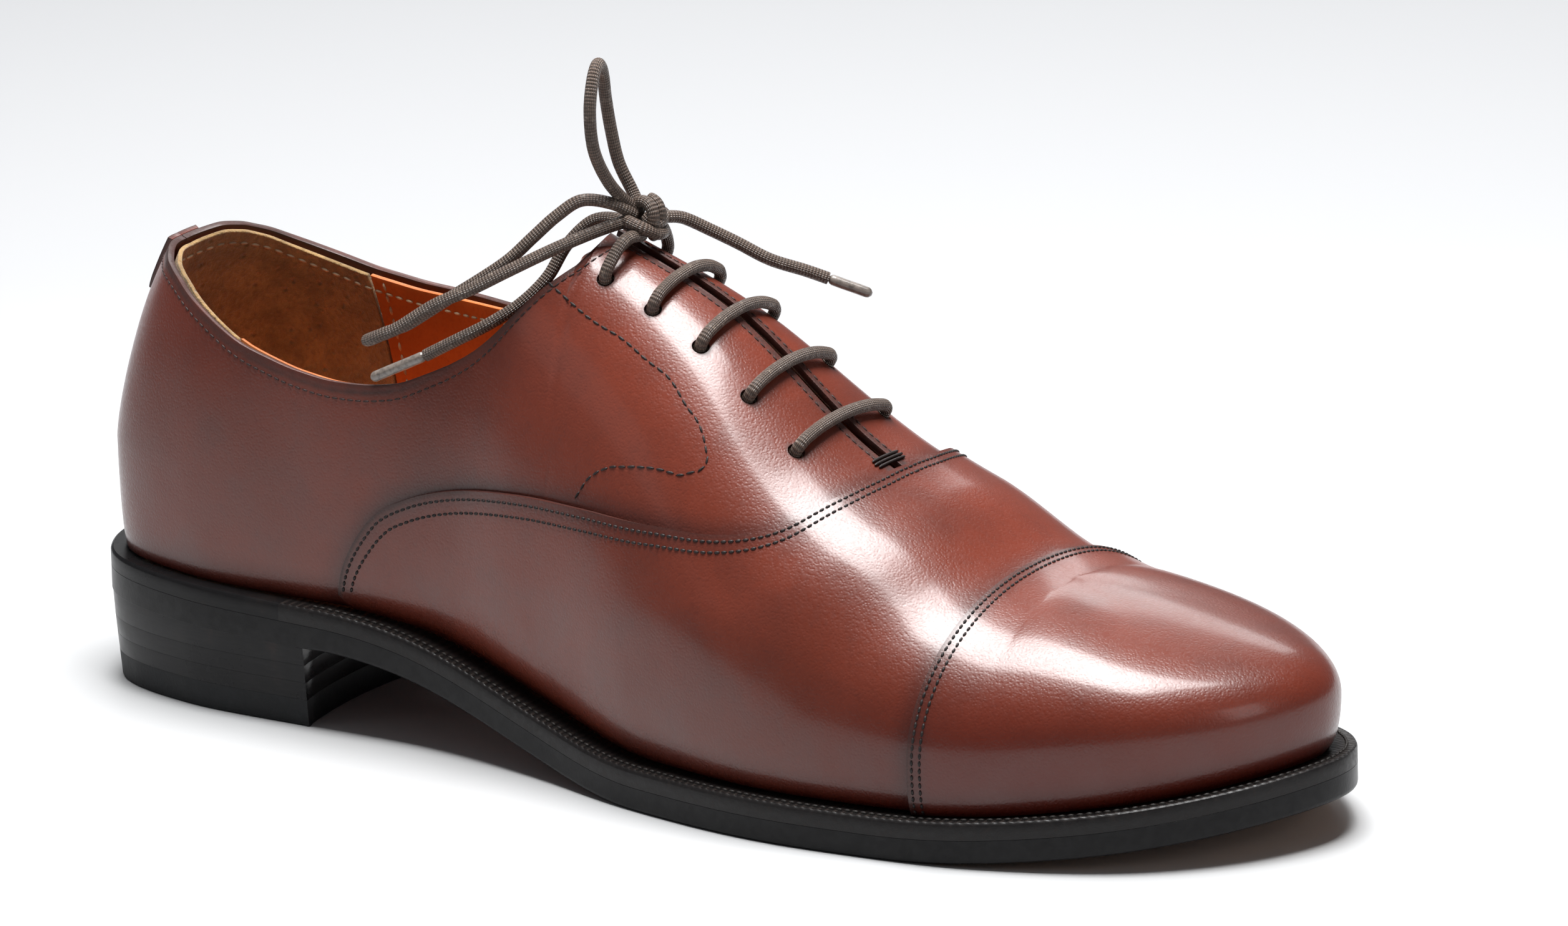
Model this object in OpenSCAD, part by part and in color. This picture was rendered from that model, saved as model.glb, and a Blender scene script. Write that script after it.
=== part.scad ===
// Leather oxford shoe for the right foot: closed lacing, plain toe cap, welted sole and stacked heel.
// +X points to the toe, -Y is the outer side of the foot, +Z is up.
// The heel and the tread stand on z = 0, and the origin is under the middle of the shoe.

/* [Sole] */
// Length of the outsole from heel to toe
sole_length = 302; // [270:1:330]
// Width of the outsole across the ball of the foot
ball_w = 104; // [92:1:116]
// Width of the outsole at the waist, under the arch
waist_w = 60; // [54:1:72]
// Width of the heel seat
seat_w = 65; // [60:1:74]
// How far the toe tip swings to the inner side of the foot
toe_swing = 10; // [4:1:14]
// Thickness of the outsole
outsole_t = 5.2; // [4:0.1:7]
// Thickness of the welt and of the heel rand
welt_t = 3.8; // [3:0.1:5]
// Height of the toe tip's underside above the floor
toe_spring = 9; // [5:0.5:14]
// Width of the welt's seat under the edge of the upper
welt_seat = 4; // [3:0.5:6]

/* [Heel] */
// Height of the heel at its breast
heel_h = 17.8; // [15:0.1:26]
// Extra height of the heel at its back
heel_rise = 2; // [0:0.1:4]
// Length of the heel from its back to its breast
heel_len = 67; // [60:1:78]
// Depth of the curve in the heel breast
breast_curve = 4; // [1:0.5:7]
// Thickness of the rubber top piece
top_piece_t = 6; // [4:0.1:8]
// How far the heel wall leans in at the floor
heel_lean = 1.6; // [0:0.1:3]
// Diameter of a heel nail
nail_d = 1.8; // [1.2:0.1:2.6]

/* [Bottom filling] */
// Thickness of the insole
insole_t = 3; // [2:0.1:4]
// Thickness of the sock liner
sock_t = 1; // [0.6:0.1:1.5]
// Width of the steel shank
shank_w = 14; // [10:1:18]
// Thickness of the steel shank
shank_t = 1.2; // [0.8:0.1:1.6]

/* [Upper] */
// Height of the instep ridge above the heel seat at the throat of the lacing
throat_h = 52; // [44:1:60]
// Height of the instep ridge above the heel seat at the top of the facings
instep_h = 82; // [72:1:92]
// Height of the toe box above the welt
toe_box_h = 37; // [32:1:44]
// Height of the topline above the heel seat at the back
back_h = 68; // [62:1:73]
// Height of the topline above the heel seat at its low point under the ankle
ankle_h = 49; // [44:1:55]
// Thickness of the upper leather
upper_t = 1.4; // [1.1:0.1:2]
// Thickness of the lining leather
lining_t = 1; // [0.7:0.1:1.4]
// Thickness of the heel counter and of the toe puff
stiffener_t = 1; // [0.8:0.1:1.5]
// Thickness of a facing stay
stay_t = 0.5; // [0.4:0.1:0.8]
// Gap kept between two layers of leather
layer_gap = 0.3; // [0.25:0.05:0.4]
// How far the quarters run under the vamp, and the vamp under the toe cap
lap = 10; // [7:0.5:13]
// Width of the slit between the facings
slit_w = 3; // [2:0.5:6]

/* [Lacing] */
// Diameter of the waxed lace
lace_d = 2.7; // [2.2:0.1:3.2]
// Diameter of a lace hole
hole_d = 3.8; // [3.4:0.1:4.6]
// Distance from the ridge to a lace hole at the throat
hole_side_low = 17; // [14:0.5:20]
// Distance from the ridge to a lace hole at the top
hole_side_high = 12; // [10:0.5:15]
// Width of a facing stay
stay_w = 22; // [18:1:26]
// Half of the width of the tongue
tongue_half_w = 30; // [24:1:36]
// Thickness of the tongue
tongue_t = 2; // [1.5:0.1:3]

/* [Hidden] */

black_leather = [0.09, 0.08, 0.08];
brown_leather = [0.36, 0.14, 0.10];
tan_leather = [0.72, 0.36, 0.14];
suede = [0.55, 0.43, 0.26];

OUTER = -1;
INNER = 1;

// ---------- The plan of the sole ----------

// Stations run from the heel back (0) along one side to the toe tip (12).
LAST_STATION = 12;
HEEL_FAN_END = 2;
TOE_FAN_START = 9;
seat_r = seat_w / 2;
seat_x = seat_r + 1.5;
waist_outer = waist_w * 0.54;
waist_inner = waist_w * 0.44;
ball_outer = ball_w * 0.49;
ball_inner = ball_w * 0.51;
foot_x = function (share) heel_len + (sole_length - heel_len) * share;
station_x = concat([0, 0.27 * seat_x, seat_x, heel_len],
                   [for (share = [0.135, 0.265, 0.395, 0.525, 0.64, 0.76, 0.885, 0.966, 1]) foot_x(share)]);
outer_y = [0, 0.67 * seat_r, 0.96 * seat_r, seat_r, waist_outer,
           waist_outer + (ball_outer - waist_outer) * 0.28, waist_outer + (ball_outer - waist_outer) * 0.74,
           ball_outer, ball_outer * 0.985, ball_outer * 0.895, ball_outer * 0.64, ball_outer * 0.255, -toe_swing];
inner_y = [0, 0.71 * seat_r, 1.0 * seat_r, seat_r, waist_inner,
           waist_inner + (ball_inner - waist_inner) * 0.02, waist_inner + (ball_inner - waist_inner) * 0.4,
           ball_inner * 0.92, ball_inner, ball_inner * 0.965, ball_inner * 0.815, ball_inner * 0.53, toe_swing];

// The spine is the line under the ridge: one point for each fan at the ends, and stations between.
toe_x = station_x[TOE_FAN_START] - 4;
toe_y = toe_swing * 0.37;
spine_x = [for (k = [0 : LAST_STATION]) k <= HEEL_FAN_END ? seat_x : k >= TOE_FAN_START ? toe_x : station_x[k]];
spine_y = [0, 0, 0, -1, -1, -1, 0.5, 1.3, 2.3, toe_y, toe_y, toe_y, toe_y];

// Height of the outsole's underside at a distance from the heel back
tread_start = foot_x(0.41);
tread_end = foot_x(0.66);
sole_z = function (x)
    x < heel_len ? heel_h + heel_rise * (1 - max(x, 0) / heel_len)
    : x < tread_start ? heel_h * (1 + cos(180 * (x - heel_len) / (tread_start - heel_len))) / 2
    : x < tread_end ? 0
    : toe_spring * pow((min(x, sole_length) - tread_end) / (sole_length - tread_end), 1.8);
edge_t = outsole_t + welt_t;

// ---------- The surface of the last ----------

seat_z = heel_h + edge_t;
// Height of the widest line of the last above the welt
wide_h = [24.5, 24.5, 25, 22, 22, 20, 17, 14.5, 13.5, 12.5, 12.5, 11, 11];
// Height of the ridge, which carries on over the open ankle as the last's cone would
cone_z = seat_z + instep_h;
toe_z = edge_t + toe_box_h + 2.3;
ridge_z = [cone_z + 11, cone_z + 11, cone_z + 11, cone_z + 17, cone_z + 11, cone_z + 1,
           cone_z - 13, seat_z + throat_h - 7, toe_z + 9.7, toe_z, toe_z, toe_z, toe_z];
// How far the wall and the feather edge stand in from the edge of the outsole
wall_inset = [3.6, 3.7, 3.9, 4.2, 5, 4.5, 3.6, 3.2, 3.2, 4.5, 4.8, 5, 5];
feather_inset = [5, 5.3, 6, 8, 11, 10, 8, 7, 7, 7.4, 7.8, 8, 8];
// Fullness of a section: 1 is an ellipse, less is squarer
fullness = [1.35, 1.35, 1, 0.9, 0.9, 0.92, 0.95, 0.93, 0.93, 0.93, 0.9, 0.9, 0.9];
// How fast a section leans in as it climbs: more than 1 leans in early, as the heel's back does
climb = [1.47, 1.47, 1.1, 1, 1, 1, 1, 1, 1, 1, 1, 1, 1];
// Slope of the toe box ahead of the toe centre
toe_tilt = 0.16;
// Share of a section below its widest line
FEATHER_SHARE = 0.2;

// One row for each station round the foot, outer side first, then back along the inner side.
station_row = function (k, side)
    [station_x[k], side == OUTER ? -outer_y[k] : inner_y[k], spine_x[k], spine_y[k],
     wide_h[k], ridge_z[k], wall_inset[k], feather_inset[k], fullness[k], climb[k]];
RING = concat([for (k = [0 : LAST_STATION]) station_row(k, OUTER)],
              [for (k = [LAST_STATION - 1 : -1 : 1]) station_row(k, INNER)]);
ring_row = function (k) RING[(k + 2 * len(RING)) % len(RING)];
smooth_row = function (u)
    let (k = floor(u), f = u - k, a = ring_row(k - 1), b = ring_row(k), c = ring_row(k + 1), d = ring_row(k + 2))
    (2 * b + (c - a) * f + (2 * a - 5 * b + 4 * c - d) * f * f + (3 * b - a - 3 * c + d) * f * f * f) / 2;
// The same station on the chosen side of the foot
side_u = function (side, u) side == OUTER ? u : len(RING) - u;

// A point of the last: u runs round the foot, e climbs from the feather edge (0) to the ridge (1).
last_point = function (u, e)
    let (row = smooth_row(u),
         reach = norm([row[0] - row[2], row[1] - row[3]]),
         way = [row[0] - row[2], row[1] - row[3]] / reach,
         welt_z = sole_z(row[0]) + edge_t,
         wall = reach - row[6],
         low = sin(90 * min(1, e / FEATHER_SHARE)),
         rise = 90 * max(0, (e - FEATHER_SHARE) / (1 - FEATHER_SHARE)),
         across = e < FEATHER_SHARE ? reach - row[7] + (row[7] - row[6]) * low : wall * pow(cos(rise), row[8]),
         top_z = welt_z + row[4] + (row[5] - welt_z - row[4]) * pow(sin(rise), row[9]),
         tilt = row[2] >= toe_x - 0.01 ? toe_tilt * max(0, way[0]) * across * pow(sin(rise), 2) : 0,
         z = e < FEATHER_SHARE ? welt_z + row[4] * (1 - cos(90 * e / FEATHER_SHARE)) : top_z - tilt)
    [row[2] + way[0] * across, row[3] + way[1] * across, z];

// The e at which a section is a given distance from the ridge, for edges and holes beside the lacing
e_beside_ridge = function (u, distance)
    let (row = smooth_row(u), wall = norm([row[0] - row[2], row[1] - row[3]]) - row[6])
    FEATHER_SHARE + (1 - FEATHER_SHARE) * acos(pow(min(1, distance / wall), 1 / row[8])) / 90;

// The e at which a section reaches a height
e_at_height = function (u, height)
    let (row = smooth_row(u), z0 = sole_z(row[0]) + edge_t + row[4])
    FEATHER_SHARE + (1 - FEATHER_SHARE) * asin(pow(min(1, (height - z0) / (row[5] - z0)), 1 / row[9])) / 90;

// Outward direction of the last at a point; on the ridge it follows the ridge's own slope.
NORMAL_STEP = 0.01;
unit = function (v) v / norm(v);
ridge_normal = function (u)
    let (v = min(u, len(RING) - u), w = min(v, TOE_FAN_START), d = last_point(w, 1) - last_point(w - 0.2, 1))
    unit([-d[2], 0, d[0]]);
last_normal = function (u, e)
    e > 0.985 ? ridge_normal(u)
    : let (along = last_point(u + NORMAL_STEP, e) - last_point(u - NORMAL_STEP, e),
           up = last_point(u, min(0.99, e + NORMAL_STEP)) - last_point(u, max(0, e - NORMAL_STEP)))
      unit(cross(along, up));
// Leather turns in under its lower edge and rests on the welt.
FOOT_E = 0.03;
FOOT_GAP = 0.1;
on_welt = function (p) [p[0], p[1], max(p[2], sole_z(p[0]) + edge_t + FOOT_GAP)];
skin_pair = function (u, e, out, in)
    let (p = last_point(u, e), n = last_normal(u, e))
    [on_welt(p + n * out), on_welt(p + n * in)];

ease = function (t) let (c = max(0, min(1, t))) c * c * (3 - 2 * c);
mix = function (a, b, t) a + (b - a) * t;

// ---------- Closed shells from grids of points ----------

// Two triangles of a grid cell, without those that shrink to a line where the grid is welded
cell = function (a, b, c, d) [for (t = [[a, c, b], [a, d, c]]) if (t[0] != t[1] && t[1] != t[2] && t[0] != t[2]) t];

// A sheet from a grid of [outer point, inner point] pairs, columns first
module sheet(grid) {
    columns = len(grid) - 1;
    rows = len(grid[0]) - 1;
    sheet_points = (columns + 1) * (rows + 1);
    at = function (j, i) j * (rows + 1) + i;
    in = function (j, i) sheet_points + at(j, i);
    points = concat([for (column = grid) for (pair = column) pair[0]],
                    [for (column = grid) for (pair = column) pair[1]]);
    faces = concat(
        [for (j = [0 : columns - 1]) for (i = [0 : rows - 1])
            each cell(at(j, i), at(j + 1, i), at(j + 1, i + 1), at(j, i + 1))],
        [for (j = [0 : columns - 1]) for (i = [0 : rows - 1])
            each cell(in(j, i), in(j, i + 1), in(j + 1, i + 1), in(j + 1, i))],
        [for (j = [0 : columns - 1]) each cell(in(j, 0), in(j + 1, 0), at(j + 1, 0), at(j, 0))],
        [for (j = [0 : columns - 1]) each cell(at(j, rows), at(j + 1, rows), in(j + 1, rows), in(j, rows))],
        [for (i = [0 : rows - 1]) each cell(at(0, i), at(0, i + 1), in(0, i + 1), in(0, i))],
        [for (i = [0 : rows - 1]) each cell(in(columns, i), in(columns, i + 1), at(columns, i + 1), at(columns, i))]);
    polyhedron(points, faces, convexity = 8);
}

// A sheet over both sides, welded along the ridge from column ridge_from on. Columns past the toe
// centre meet in one point, and a closed toe is welded along the last column too.
// spot(j, w) gives [u, e, outer offset, inner offset] for column j, the same on both sides.
module saddle(columns, rows, ridge_from, closed_toe, spot) {
    side_points = (columns + 1) * (rows + 1);
    column_u = [for (j = [0 : columns]) spot(j, 1)[0]];
    last_ridge = max([for (j = [0 : columns]) column_u[j] <= TOE_FAN_START + 0.001 ? j : 0]);
    welded = function (side, j, i)
        i == rows && j >= ridge_from ? min(j, last_ridge) * (rows + 1) + rows
        : (closed_toe && j == columns ? 0 : side) * side_points + j * (rows + 1) + i;
    in = function (side, j, i) 2 * side_points + welded(side, j, i);
    pairs = [for (side = [OUTER, INNER]) for (j = [0 : columns]) for (i = [0 : rows])
        let (s = spot(j, i / rows))
        skin_pair(side_u(side, s[0]), s[1], s[2], s[3])];
    points = concat([for (pair = pairs) pair[0]], [for (pair = pairs) pair[1]]);
    // Faces of the outer side turn one way and those of the inner side the other way.
    turn = function (side, a, b, c, d) side == 0 ? cell(a, b, c, d) : cell(a, d, c, b);
    faces = [for (side = [0, 1]) each concat(
        [for (j = [0 : columns - 1]) for (i = [0 : rows - 1]) each concat(
            turn(side, welded(side, j, i), welded(side, j + 1, i),
                 welded(side, j + 1, i + 1), welded(side, j, i + 1)),
            turn(side, in(side, j, i), in(side, j, i + 1), in(side, j + 1, i + 1), in(side, j + 1, i)))],
        [for (j = [0 : columns - 1]) each
            turn(side, in(side, j, 0), in(side, j + 1, 0), welded(side, j + 1, 0), welded(side, j, 0))],
        [for (j = [0 : ridge_from - 1]) if (ridge_from > 0) each
            turn(side, welded(side, j, rows), welded(side, j + 1, rows),
                 in(side, j + 1, rows), in(side, j, rows))],
        [for (i = [0 : rows - 1]) each
            turn(side, welded(side, 0, i), welded(side, 0, i + 1), in(side, 0, i + 1), in(side, 0, i))],
        [for (i = [0 : rows - 1]) if (!closed_toe) each
            turn(side, in(side, columns, i), in(side, columns, i + 1),
                 welded(side, columns, i + 1), welded(side, columns, i))])];
    polyhedron(points, faces, convexity = 8);
}

// ---------- Pattern lines, as [u, e] on the outer side and mirrored on the inner side ----------

U_MM = 30;
E_MM = 90;

// The rear edge of the vamp, from the feather edge under the ankle up and forward to the throat
vamp_seam = [[3.15, 0], [3.26, 0.12], [3.5, 0.2], [3.8, 0.25], [4.3, 0.31], [4.9, 0.37], [5.5, 0.42],
             [6.1, 0.47], [6.6, 0.54], [7, 0.65], [7.2, 0.78], [7.3, 0.9], [7.32, 1]];
seam_end = len(vamp_seam) - 1;
line_at = function (line, t)
    let (last = len(line) - 1, k = min(last - 1, max(0, floor(t))), f = t - k,
         b = line[k], c = line[k + 1], a = k > 0 ? line[k - 1] : 2 * b - c,
         d = k + 2 <= last ? line[k + 2] : 2 * c - b)
    (2 * b + (c - a) * f + (2 * a - 5 * b + 4 * c - d) * f * f + (3 * b - a - 3 * c + d) * f * f * f) / 2;
// A point beside the vamp seam, a distance in mm ahead of it and below it
ahead_of_seam = function (t, distance)
    let (d = line_at(vamp_seam, min(seam_end, t + 0.1)) - line_at(vamp_seam, max(0, t - 0.1)),
         way = unit([d[0] * U_MM, d[1] * E_MM]), p = line_at(vamp_seam, t))
    [p[0] + way[1] * distance / U_MM, max(FOOT_E, p[1] - way[0] * distance / E_MM)];

// Height of the topline above the heel seat: from the back down to the ankle, then up to the facings
facing_top_u = 5;
facing_top_h = ridge_z[facing_top_u] - seat_z - 2;
back_fall = [[0, 0.97], [1, 1], [1.6, 1], [1.95, 0.92], [2.2, 0.74], [2.5, 0.46], [2.8, 0.23], [3.1, 0.08], [3.4, 0]];
front_rise = [[3.4, 0], [3.8, 0.1], [4, 0.19], [4.25, 0.32], [4.45, 0.45], [4.6, 0.6], [4.8, 0.81], [5, 1]];
topline_h = function (u) u < 3.4 ? ankle_h + (back_h - ankle_h) * lookup(u, back_fall)
                                 : ankle_h + (facing_top_h - ankle_h) * lookup(u, front_rise);
facing_e = function (u) e_beside_ridge(u, slit_w / 2);
top_e = function (u) u < facing_top_u ? min(e_at_height(u, seat_z + topline_h(u)), facing_e(u)) : facing_e(u);

// Columns of the quarter from the heel seam to the throat: [u at the bottom or place on the seam, u at the top].
// A column from the feather edge has a place of -1 on the seam.
heel_columns = [0, 0.45, 0.9, 1.3, 1.7, 2.1, 2.5, 2.9];
seam_columns = [[0, 3.2], [1.2, 3.5], [2.2, 3.85], [3.1, 4.15], [3.7, 4.4], [4.3, 4.62], [4.8, 4.82], [5.3, 5],
                [6, 5.35], [6.7, 5.7], [7.3, 6.05], [7.9, 6.4], [8.5, 6.7], [9.1, 7], [9.8, 7.2], [10.6, 7.4], [11.3, 7.6]];
quarter_columns = concat([for (u = heel_columns) [u, -1, u]], [for (c = seam_columns) [-1, c[0], c[1]]]);
quarter_low = function (c, ahead) c[1] < 0 ? [c[0], FOOT_E] : ahead_of_seam(c[1], ahead);
// A point of a column, w from bottom to top
quarter_spot = function (column, w, ahead, trim)
    let (low = quarter_low(column, ahead), u = mix(low[0], column[2], w),
         high = top_e(column[2]) - trim / E_MM)
    [u, mix(low[1], high, w)];

// Offsets from the last's surface, which is the outside of the quarters and of the bare vamp
shell_in = -upper_t;
lining_out = shell_in - layer_gap;
lining_in = lining_out - lining_t;
stiffener_step = stiffener_t + layer_gap;
stay_step = stay_t + 2 * layer_gap;

// The heel counter wraps the heel from the feather edge up, lower towards its wings.
COUNTER_END = 2.9;
counter_top = function (u) 0.46 - 0.05 * pow(u / COUNTER_END, 2);
counter_zone = function (u, e) ease((COUNTER_END + 0.5 - abs(u)) / 0.4) * ease((counter_top(u) + 0.09 - e) / 0.07);
// The stays lie along the facings, between lining and quarter.
stay_zone = function (u, e)
    let (edge = e_beside_ridge(u, stay_w + 3), wide = 1 - edge)
    ease((e - edge + wide * 0.35) / (wide * 0.3)) * ease((u - 4.4) / 0.4);
quarter_in = function (u, e)
    shell_in + stiffener_step * counter_zone(u, e) + stay_step * stay_zone(u, e);

// ---------- Upper ----------

QUARTER_ROWS = 9;
module quarter(side) {
    columns = side == OUTER ? quarter_columns : [for (k = [len(quarter_columns) - 1 : -1 : 0]) quarter_columns[k]];
    sheet([for (column = columns) [for (i = [0 : QUARTER_ROWS])
        let (s = quarter_spot(column, i / QUARTER_ROWS, lap, 0), seam = s[0] < 0.01 ? 0.004 : s[0],
             off = quarter_in(s[0], s[1]))
        skin_pair(side_u(side, seam), s[1], off + upper_t, off)]]);
}

// The vamp wraps the forefoot. Its wings run back to the waist, and its rear edge lies over the quarters.
vamp_wing = [0.6, 1.2, 1.8, 2.6, 3.3, 4, 4.7, 5.4, 6.1, 6.8, 7.5, 8.1, 8.7, 9.4, 10.2, 11, 12];
vamp_front = [7.55, 7.8, 8.05, 8.3, 8.6, 8.93];
wing_foot = function (t) mix(3.2, 7.15, pow(t / seam_end, 1.15));
VAMP_ROWS = 11;
vamp_columns = len(vamp_wing) + len(vamp_front) - 1;
vamp_column = function (j) let (k = j - len(vamp_wing)) k < 0
    ? [wing_foot(vamp_wing[j]), line_at(vamp_seam, vamp_wing[j])]
    : [vamp_front[k] - 0.17 * (1 - k / (len(vamp_front) - 1)), [vamp_front[k], 1]];
// Where the vamp leaves the quarter's hidden edge it steps down onto the lining.
SEAM_POINTS = [for (t = [0 : 0.4 : seam_end]) line_at(vamp_seam, t)];
from_seam = function (u, e) min([for (p = SEAM_POINTS) norm([(u - p[0]) * U_MM, (e - p[1]) * E_MM])]);
vamp_in = function (u, e)
    let (over_quarter = 1 - ease((from_seam(u, e) - lap - 4) / 6))
    shell_in + over_quarter * (upper_t + 1.5 * layer_gap + stay_step * stay_zone(u, e));
vamp_spot = function (j, w)
    let (c = vamp_column(j), u = mix(c[0], c[1][0], w), e = mix(FOOT_E, c[1][1], w), off = vamp_in(u, e))
    [u, e, off + upper_t, off];
module vamp()
    color(brown_leather)
    saddle(vamp_columns, VAMP_ROWS, len(vamp_wing) - 1, false, vamp_spot);

// The toe cap lies over the vamp's front edge.
cap_columns = [8.6, 8.8, 9, 9.35, 9.7, 10.05, 10.4, 10.75, 11.1, 11.4, 11.7, 12];
CAP_ROWS = 10;
cap_in = shell_in + upper_t + layer_gap;
cap_spot = function (j, w)
    let (u = cap_columns[j] - (j == 0 ? 0.12 * (1 - w) : j == 1 ? 0.06 * (1 - w) : 0))
    [u, mix(FOOT_E, 1, w), cap_in + upper_t, cap_in];
module toe_cap()
    color(brown_leather)
    saddle(len(cap_columns) - 1, CAP_ROWS, 0, true, cap_spot);

// Where a point of the heel back is, for pieces that cross the back seam
heel_band = function (us, rows, low, high, out, in) [for (u = us) [for (i = [0 : rows])
    skin_pair(u, mix(low, high(abs(u)), i / rows), out, in)]];
both_ways = function (list) concat([for (k = [len(list) - 1 : -1 : 1]) -list[k]], list);
module heel_counter()
    color([0.75, 0.68, 0.55])
    sheet(heel_band(both_ways(heel_columns), 6, FOOT_E, counter_top, shell_in + stiffener_t, shell_in));

puff_columns = [9.05, 9.35, 9.7, 10.05, 10.4, 10.75, 11.1, 11.4, 11.7, 12];
puff_spot = function (j, w) [puff_columns[j], mix(FOOT_E, 1, w), shell_in + stiffener_t, shell_in];
module toe_puff()
    color([0.75, 0.68, 0.55])
    saddle(len(puff_columns) - 1, 8, 0, true, puff_spot);

// A strap over the topline at the back seam
TAB_HALF_U = 0.16;
tab_drop = 9;
module back_tab() {
    over = top_e(0);
    drop_e = tab_drop / E_MM;
    out = quarter_in(0, over) + upper_t + 1.5 * layer_gap;
    inside = lining_in - layer_gap;
    // [e, offset of the strap's far face, offset of its near face]
    profile = [[over - drop_e, out + upper_t, out], [over - drop_e / 2, out + upper_t, out],
               [over, out + upper_t, out],
               [over + 0.014, out + 0.4, out - 0.2],
               [over + 0.016, lining_in - 0.9, lining_in - 0.5],
               [over, inside - upper_t, inside],
               [over - drop_e / 2, inside - upper_t, inside],
               [over - drop_e, inside - upper_t, inside]];
    lift = function (k) k == 3 || k == 4 ? 0.012 : 0;
    color(brown_leather)
    sheet([for (u = [-TAB_HALF_U : TAB_HALF_U / 2 : TAB_HALF_U + 0.001]) [for (k = [0 : len(profile) - 1])
        let (q = profile[k], n = last_normal(u, over))
        [last_point(u, q[0] + lift(k)) + n * q[1], last_point(u, q[0]) + n * q[2]]]]);
}

// ---------- Lining ----------

module heel_grip()
    color(suede)
    sheet(heel_band(both_ways(heel_columns), 9, FOOT_E, function (u) top_e(u) - layer_gap / E_MM,
                    lining_out, lining_in));

LINING_SEAM = 0.012;
module quarter_lining(side) {
    used = [for (c = quarter_columns) if (c[2] > COUNTER_END + 0.1) c];
    first = [heel_columns[len(heel_columns) - 1] + LINING_SEAM, -1, heel_columns[len(heel_columns) - 1] + LINING_SEAM];
    all_columns = concat([first], used);
    columns = side == OUTER ? all_columns : [for (k = [len(all_columns) - 1 : -1 : 0]) all_columns[k]];
    color(tan_leather)
    difference() {
        sheet([for (column = columns) [for (i = [0 : QUARTER_ROWS])
            let (s = quarter_spot(column, i / QUARTER_ROWS, lap, layer_gap))
            skin_pair(side_u(side, s[0]), s[1], lining_out, lining_in)]]);
        lace_holes(side);
    }
}

// The vamp lining meets the quarter lining where the quarters end, and closes round the toe.
lining_front = [7.8, 8.1, 8.4, 8.7, 9, 9.35, 9.7, 10.05, 10.4, 10.75, 11.1, 11.4, 11.7, 12];
lining_wing = [for (t = vamp_wing) if (t > 1.5) t];
lining_columns = len(lining_wing) + len(lining_front) - 1;
lining_spot = function (j, w)
    let (k = j - len(lining_wing), t = k < 0 ? lining_wing[j] : 0,
         top = k < 0 ? ahead_of_seam(t, lap + layer_gap) : [lining_front[k], 1],
         top_e_here = t >= seam_end - 0.01 ? 1 : top[1],
         foot = k < 0 ? wing_foot(t) : lining_front[k] - max(0, 0.15 - 0.05 * k))
    [mix(foot, top[0], w), mix(FOOT_E, top_e_here, w), lining_out, lining_in];
module vamp_lining()
    color(tan_leather)
    saddle(lining_columns, 10, len(lining_wing) - 1, true, lining_spot);

// ---------- Facings ----------

// Lace holes, from the throat up: place along the foot and distance from the ridge
HOLE_U = [6.8, 6.4, 6, 5.6, 5.2];
hole_side = function (k) mix(hole_side_low, hole_side_high, k / (len(HOLE_U) - 1));
module along_normal(side, u, e) {
    v = side_u(side, u);
    p = last_point(v, e);
    n = last_normal(v, e);
    translate(p)
        rotate([0, acos(n[2]), atan2(n[1], n[0])])
        children();
}
HOLE_DEPTH = 6;
module lace_holes(side)
    for (k = [0 : len(HOLE_U) - 1])
        along_normal(side, HOLE_U[k], e_beside_ridge(HOLE_U[k], hole_side(k)))
            translate([0, 0, -HOLE_DEPTH])
            cylinder(h = 2 * HOLE_DEPTH, d = hole_d, $fn = 24);

module quarter_panel(side)
    color(brown_leather)
    difference() {
        quarter(side);
        lace_holes(side);
    }

STAY_U = [5.12, 5.5, 5.9, 6.3, 6.7, 7.1];
module facing_stay(side) {
    columns = side == OUTER ? STAY_U : [for (k = [len(STAY_U) - 1 : -1 : 0]) STAY_U[k]];
    color([0.85, 0.8, 0.7])
    difference() {
        sheet([for (v = columns) [for (w = [0, 0.25, 0.5, 0.75, 1])
            let (e = e_beside_ridge(v, mix(stay_w, slit_w / 2 + 1, w)))
            skin_pair(side_u(side, v), e, shell_in + layer_gap + stay_t, shell_in + layer_gap)]]);
        lace_holes(side);
    }
}

// The tongue lies under the facings, with room above it for the lace, and is sewn down ahead of the throat.
TONGUE_U = [4.88, 5.2, 5.55, 5.9, 6.25, 6.6, 6.95, 7.2, 7.42];
tongue_room = lace_d + 2 * layer_gap;
tongue_spot = function (j, w)
    let (u = TONGUE_U[j], base = ease((u - 6.9) / 0.5), half = tongue_half_w * (1 - 0.35 * ease((u - 5.6) / 1.8)),
         shape = j == 0 ? 0.7 : 1, off = lining_in - mix(tongue_room, 2 * layer_gap, base))
    [u, mix(e_beside_ridge(u, half * shape), 1, w), off, off - tongue_t];
module tongue()
    color(brown_leather)
    saddle(len(TONGUE_U) - 1, 7, 0, false, tongue_spot);

// ---------- Sole and heel ----------

// Points of the sole's outline, brought in towards the spine: by a distance, or by the feather's own inset
plan_point = function (u, inset)
    let (row = smooth_row(u), s = [row[0], row[1]], q = [row[2], row[3]])
    s + unit(q - s) * inset;
feather_point = function (u, inset) plan_point(u, smooth_row(u)[7] + inset);
PLAN_STEP = 1 / 3;
ROUND = [0 : PLAN_STEP : len(RING) - PLAN_STEP / 2];
edge_outline = [for (u = ROUND) plan_point(u, 0)];
function feather_outline(inset) = [for (u = ROUND) feather_point(u, inset)];

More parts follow.
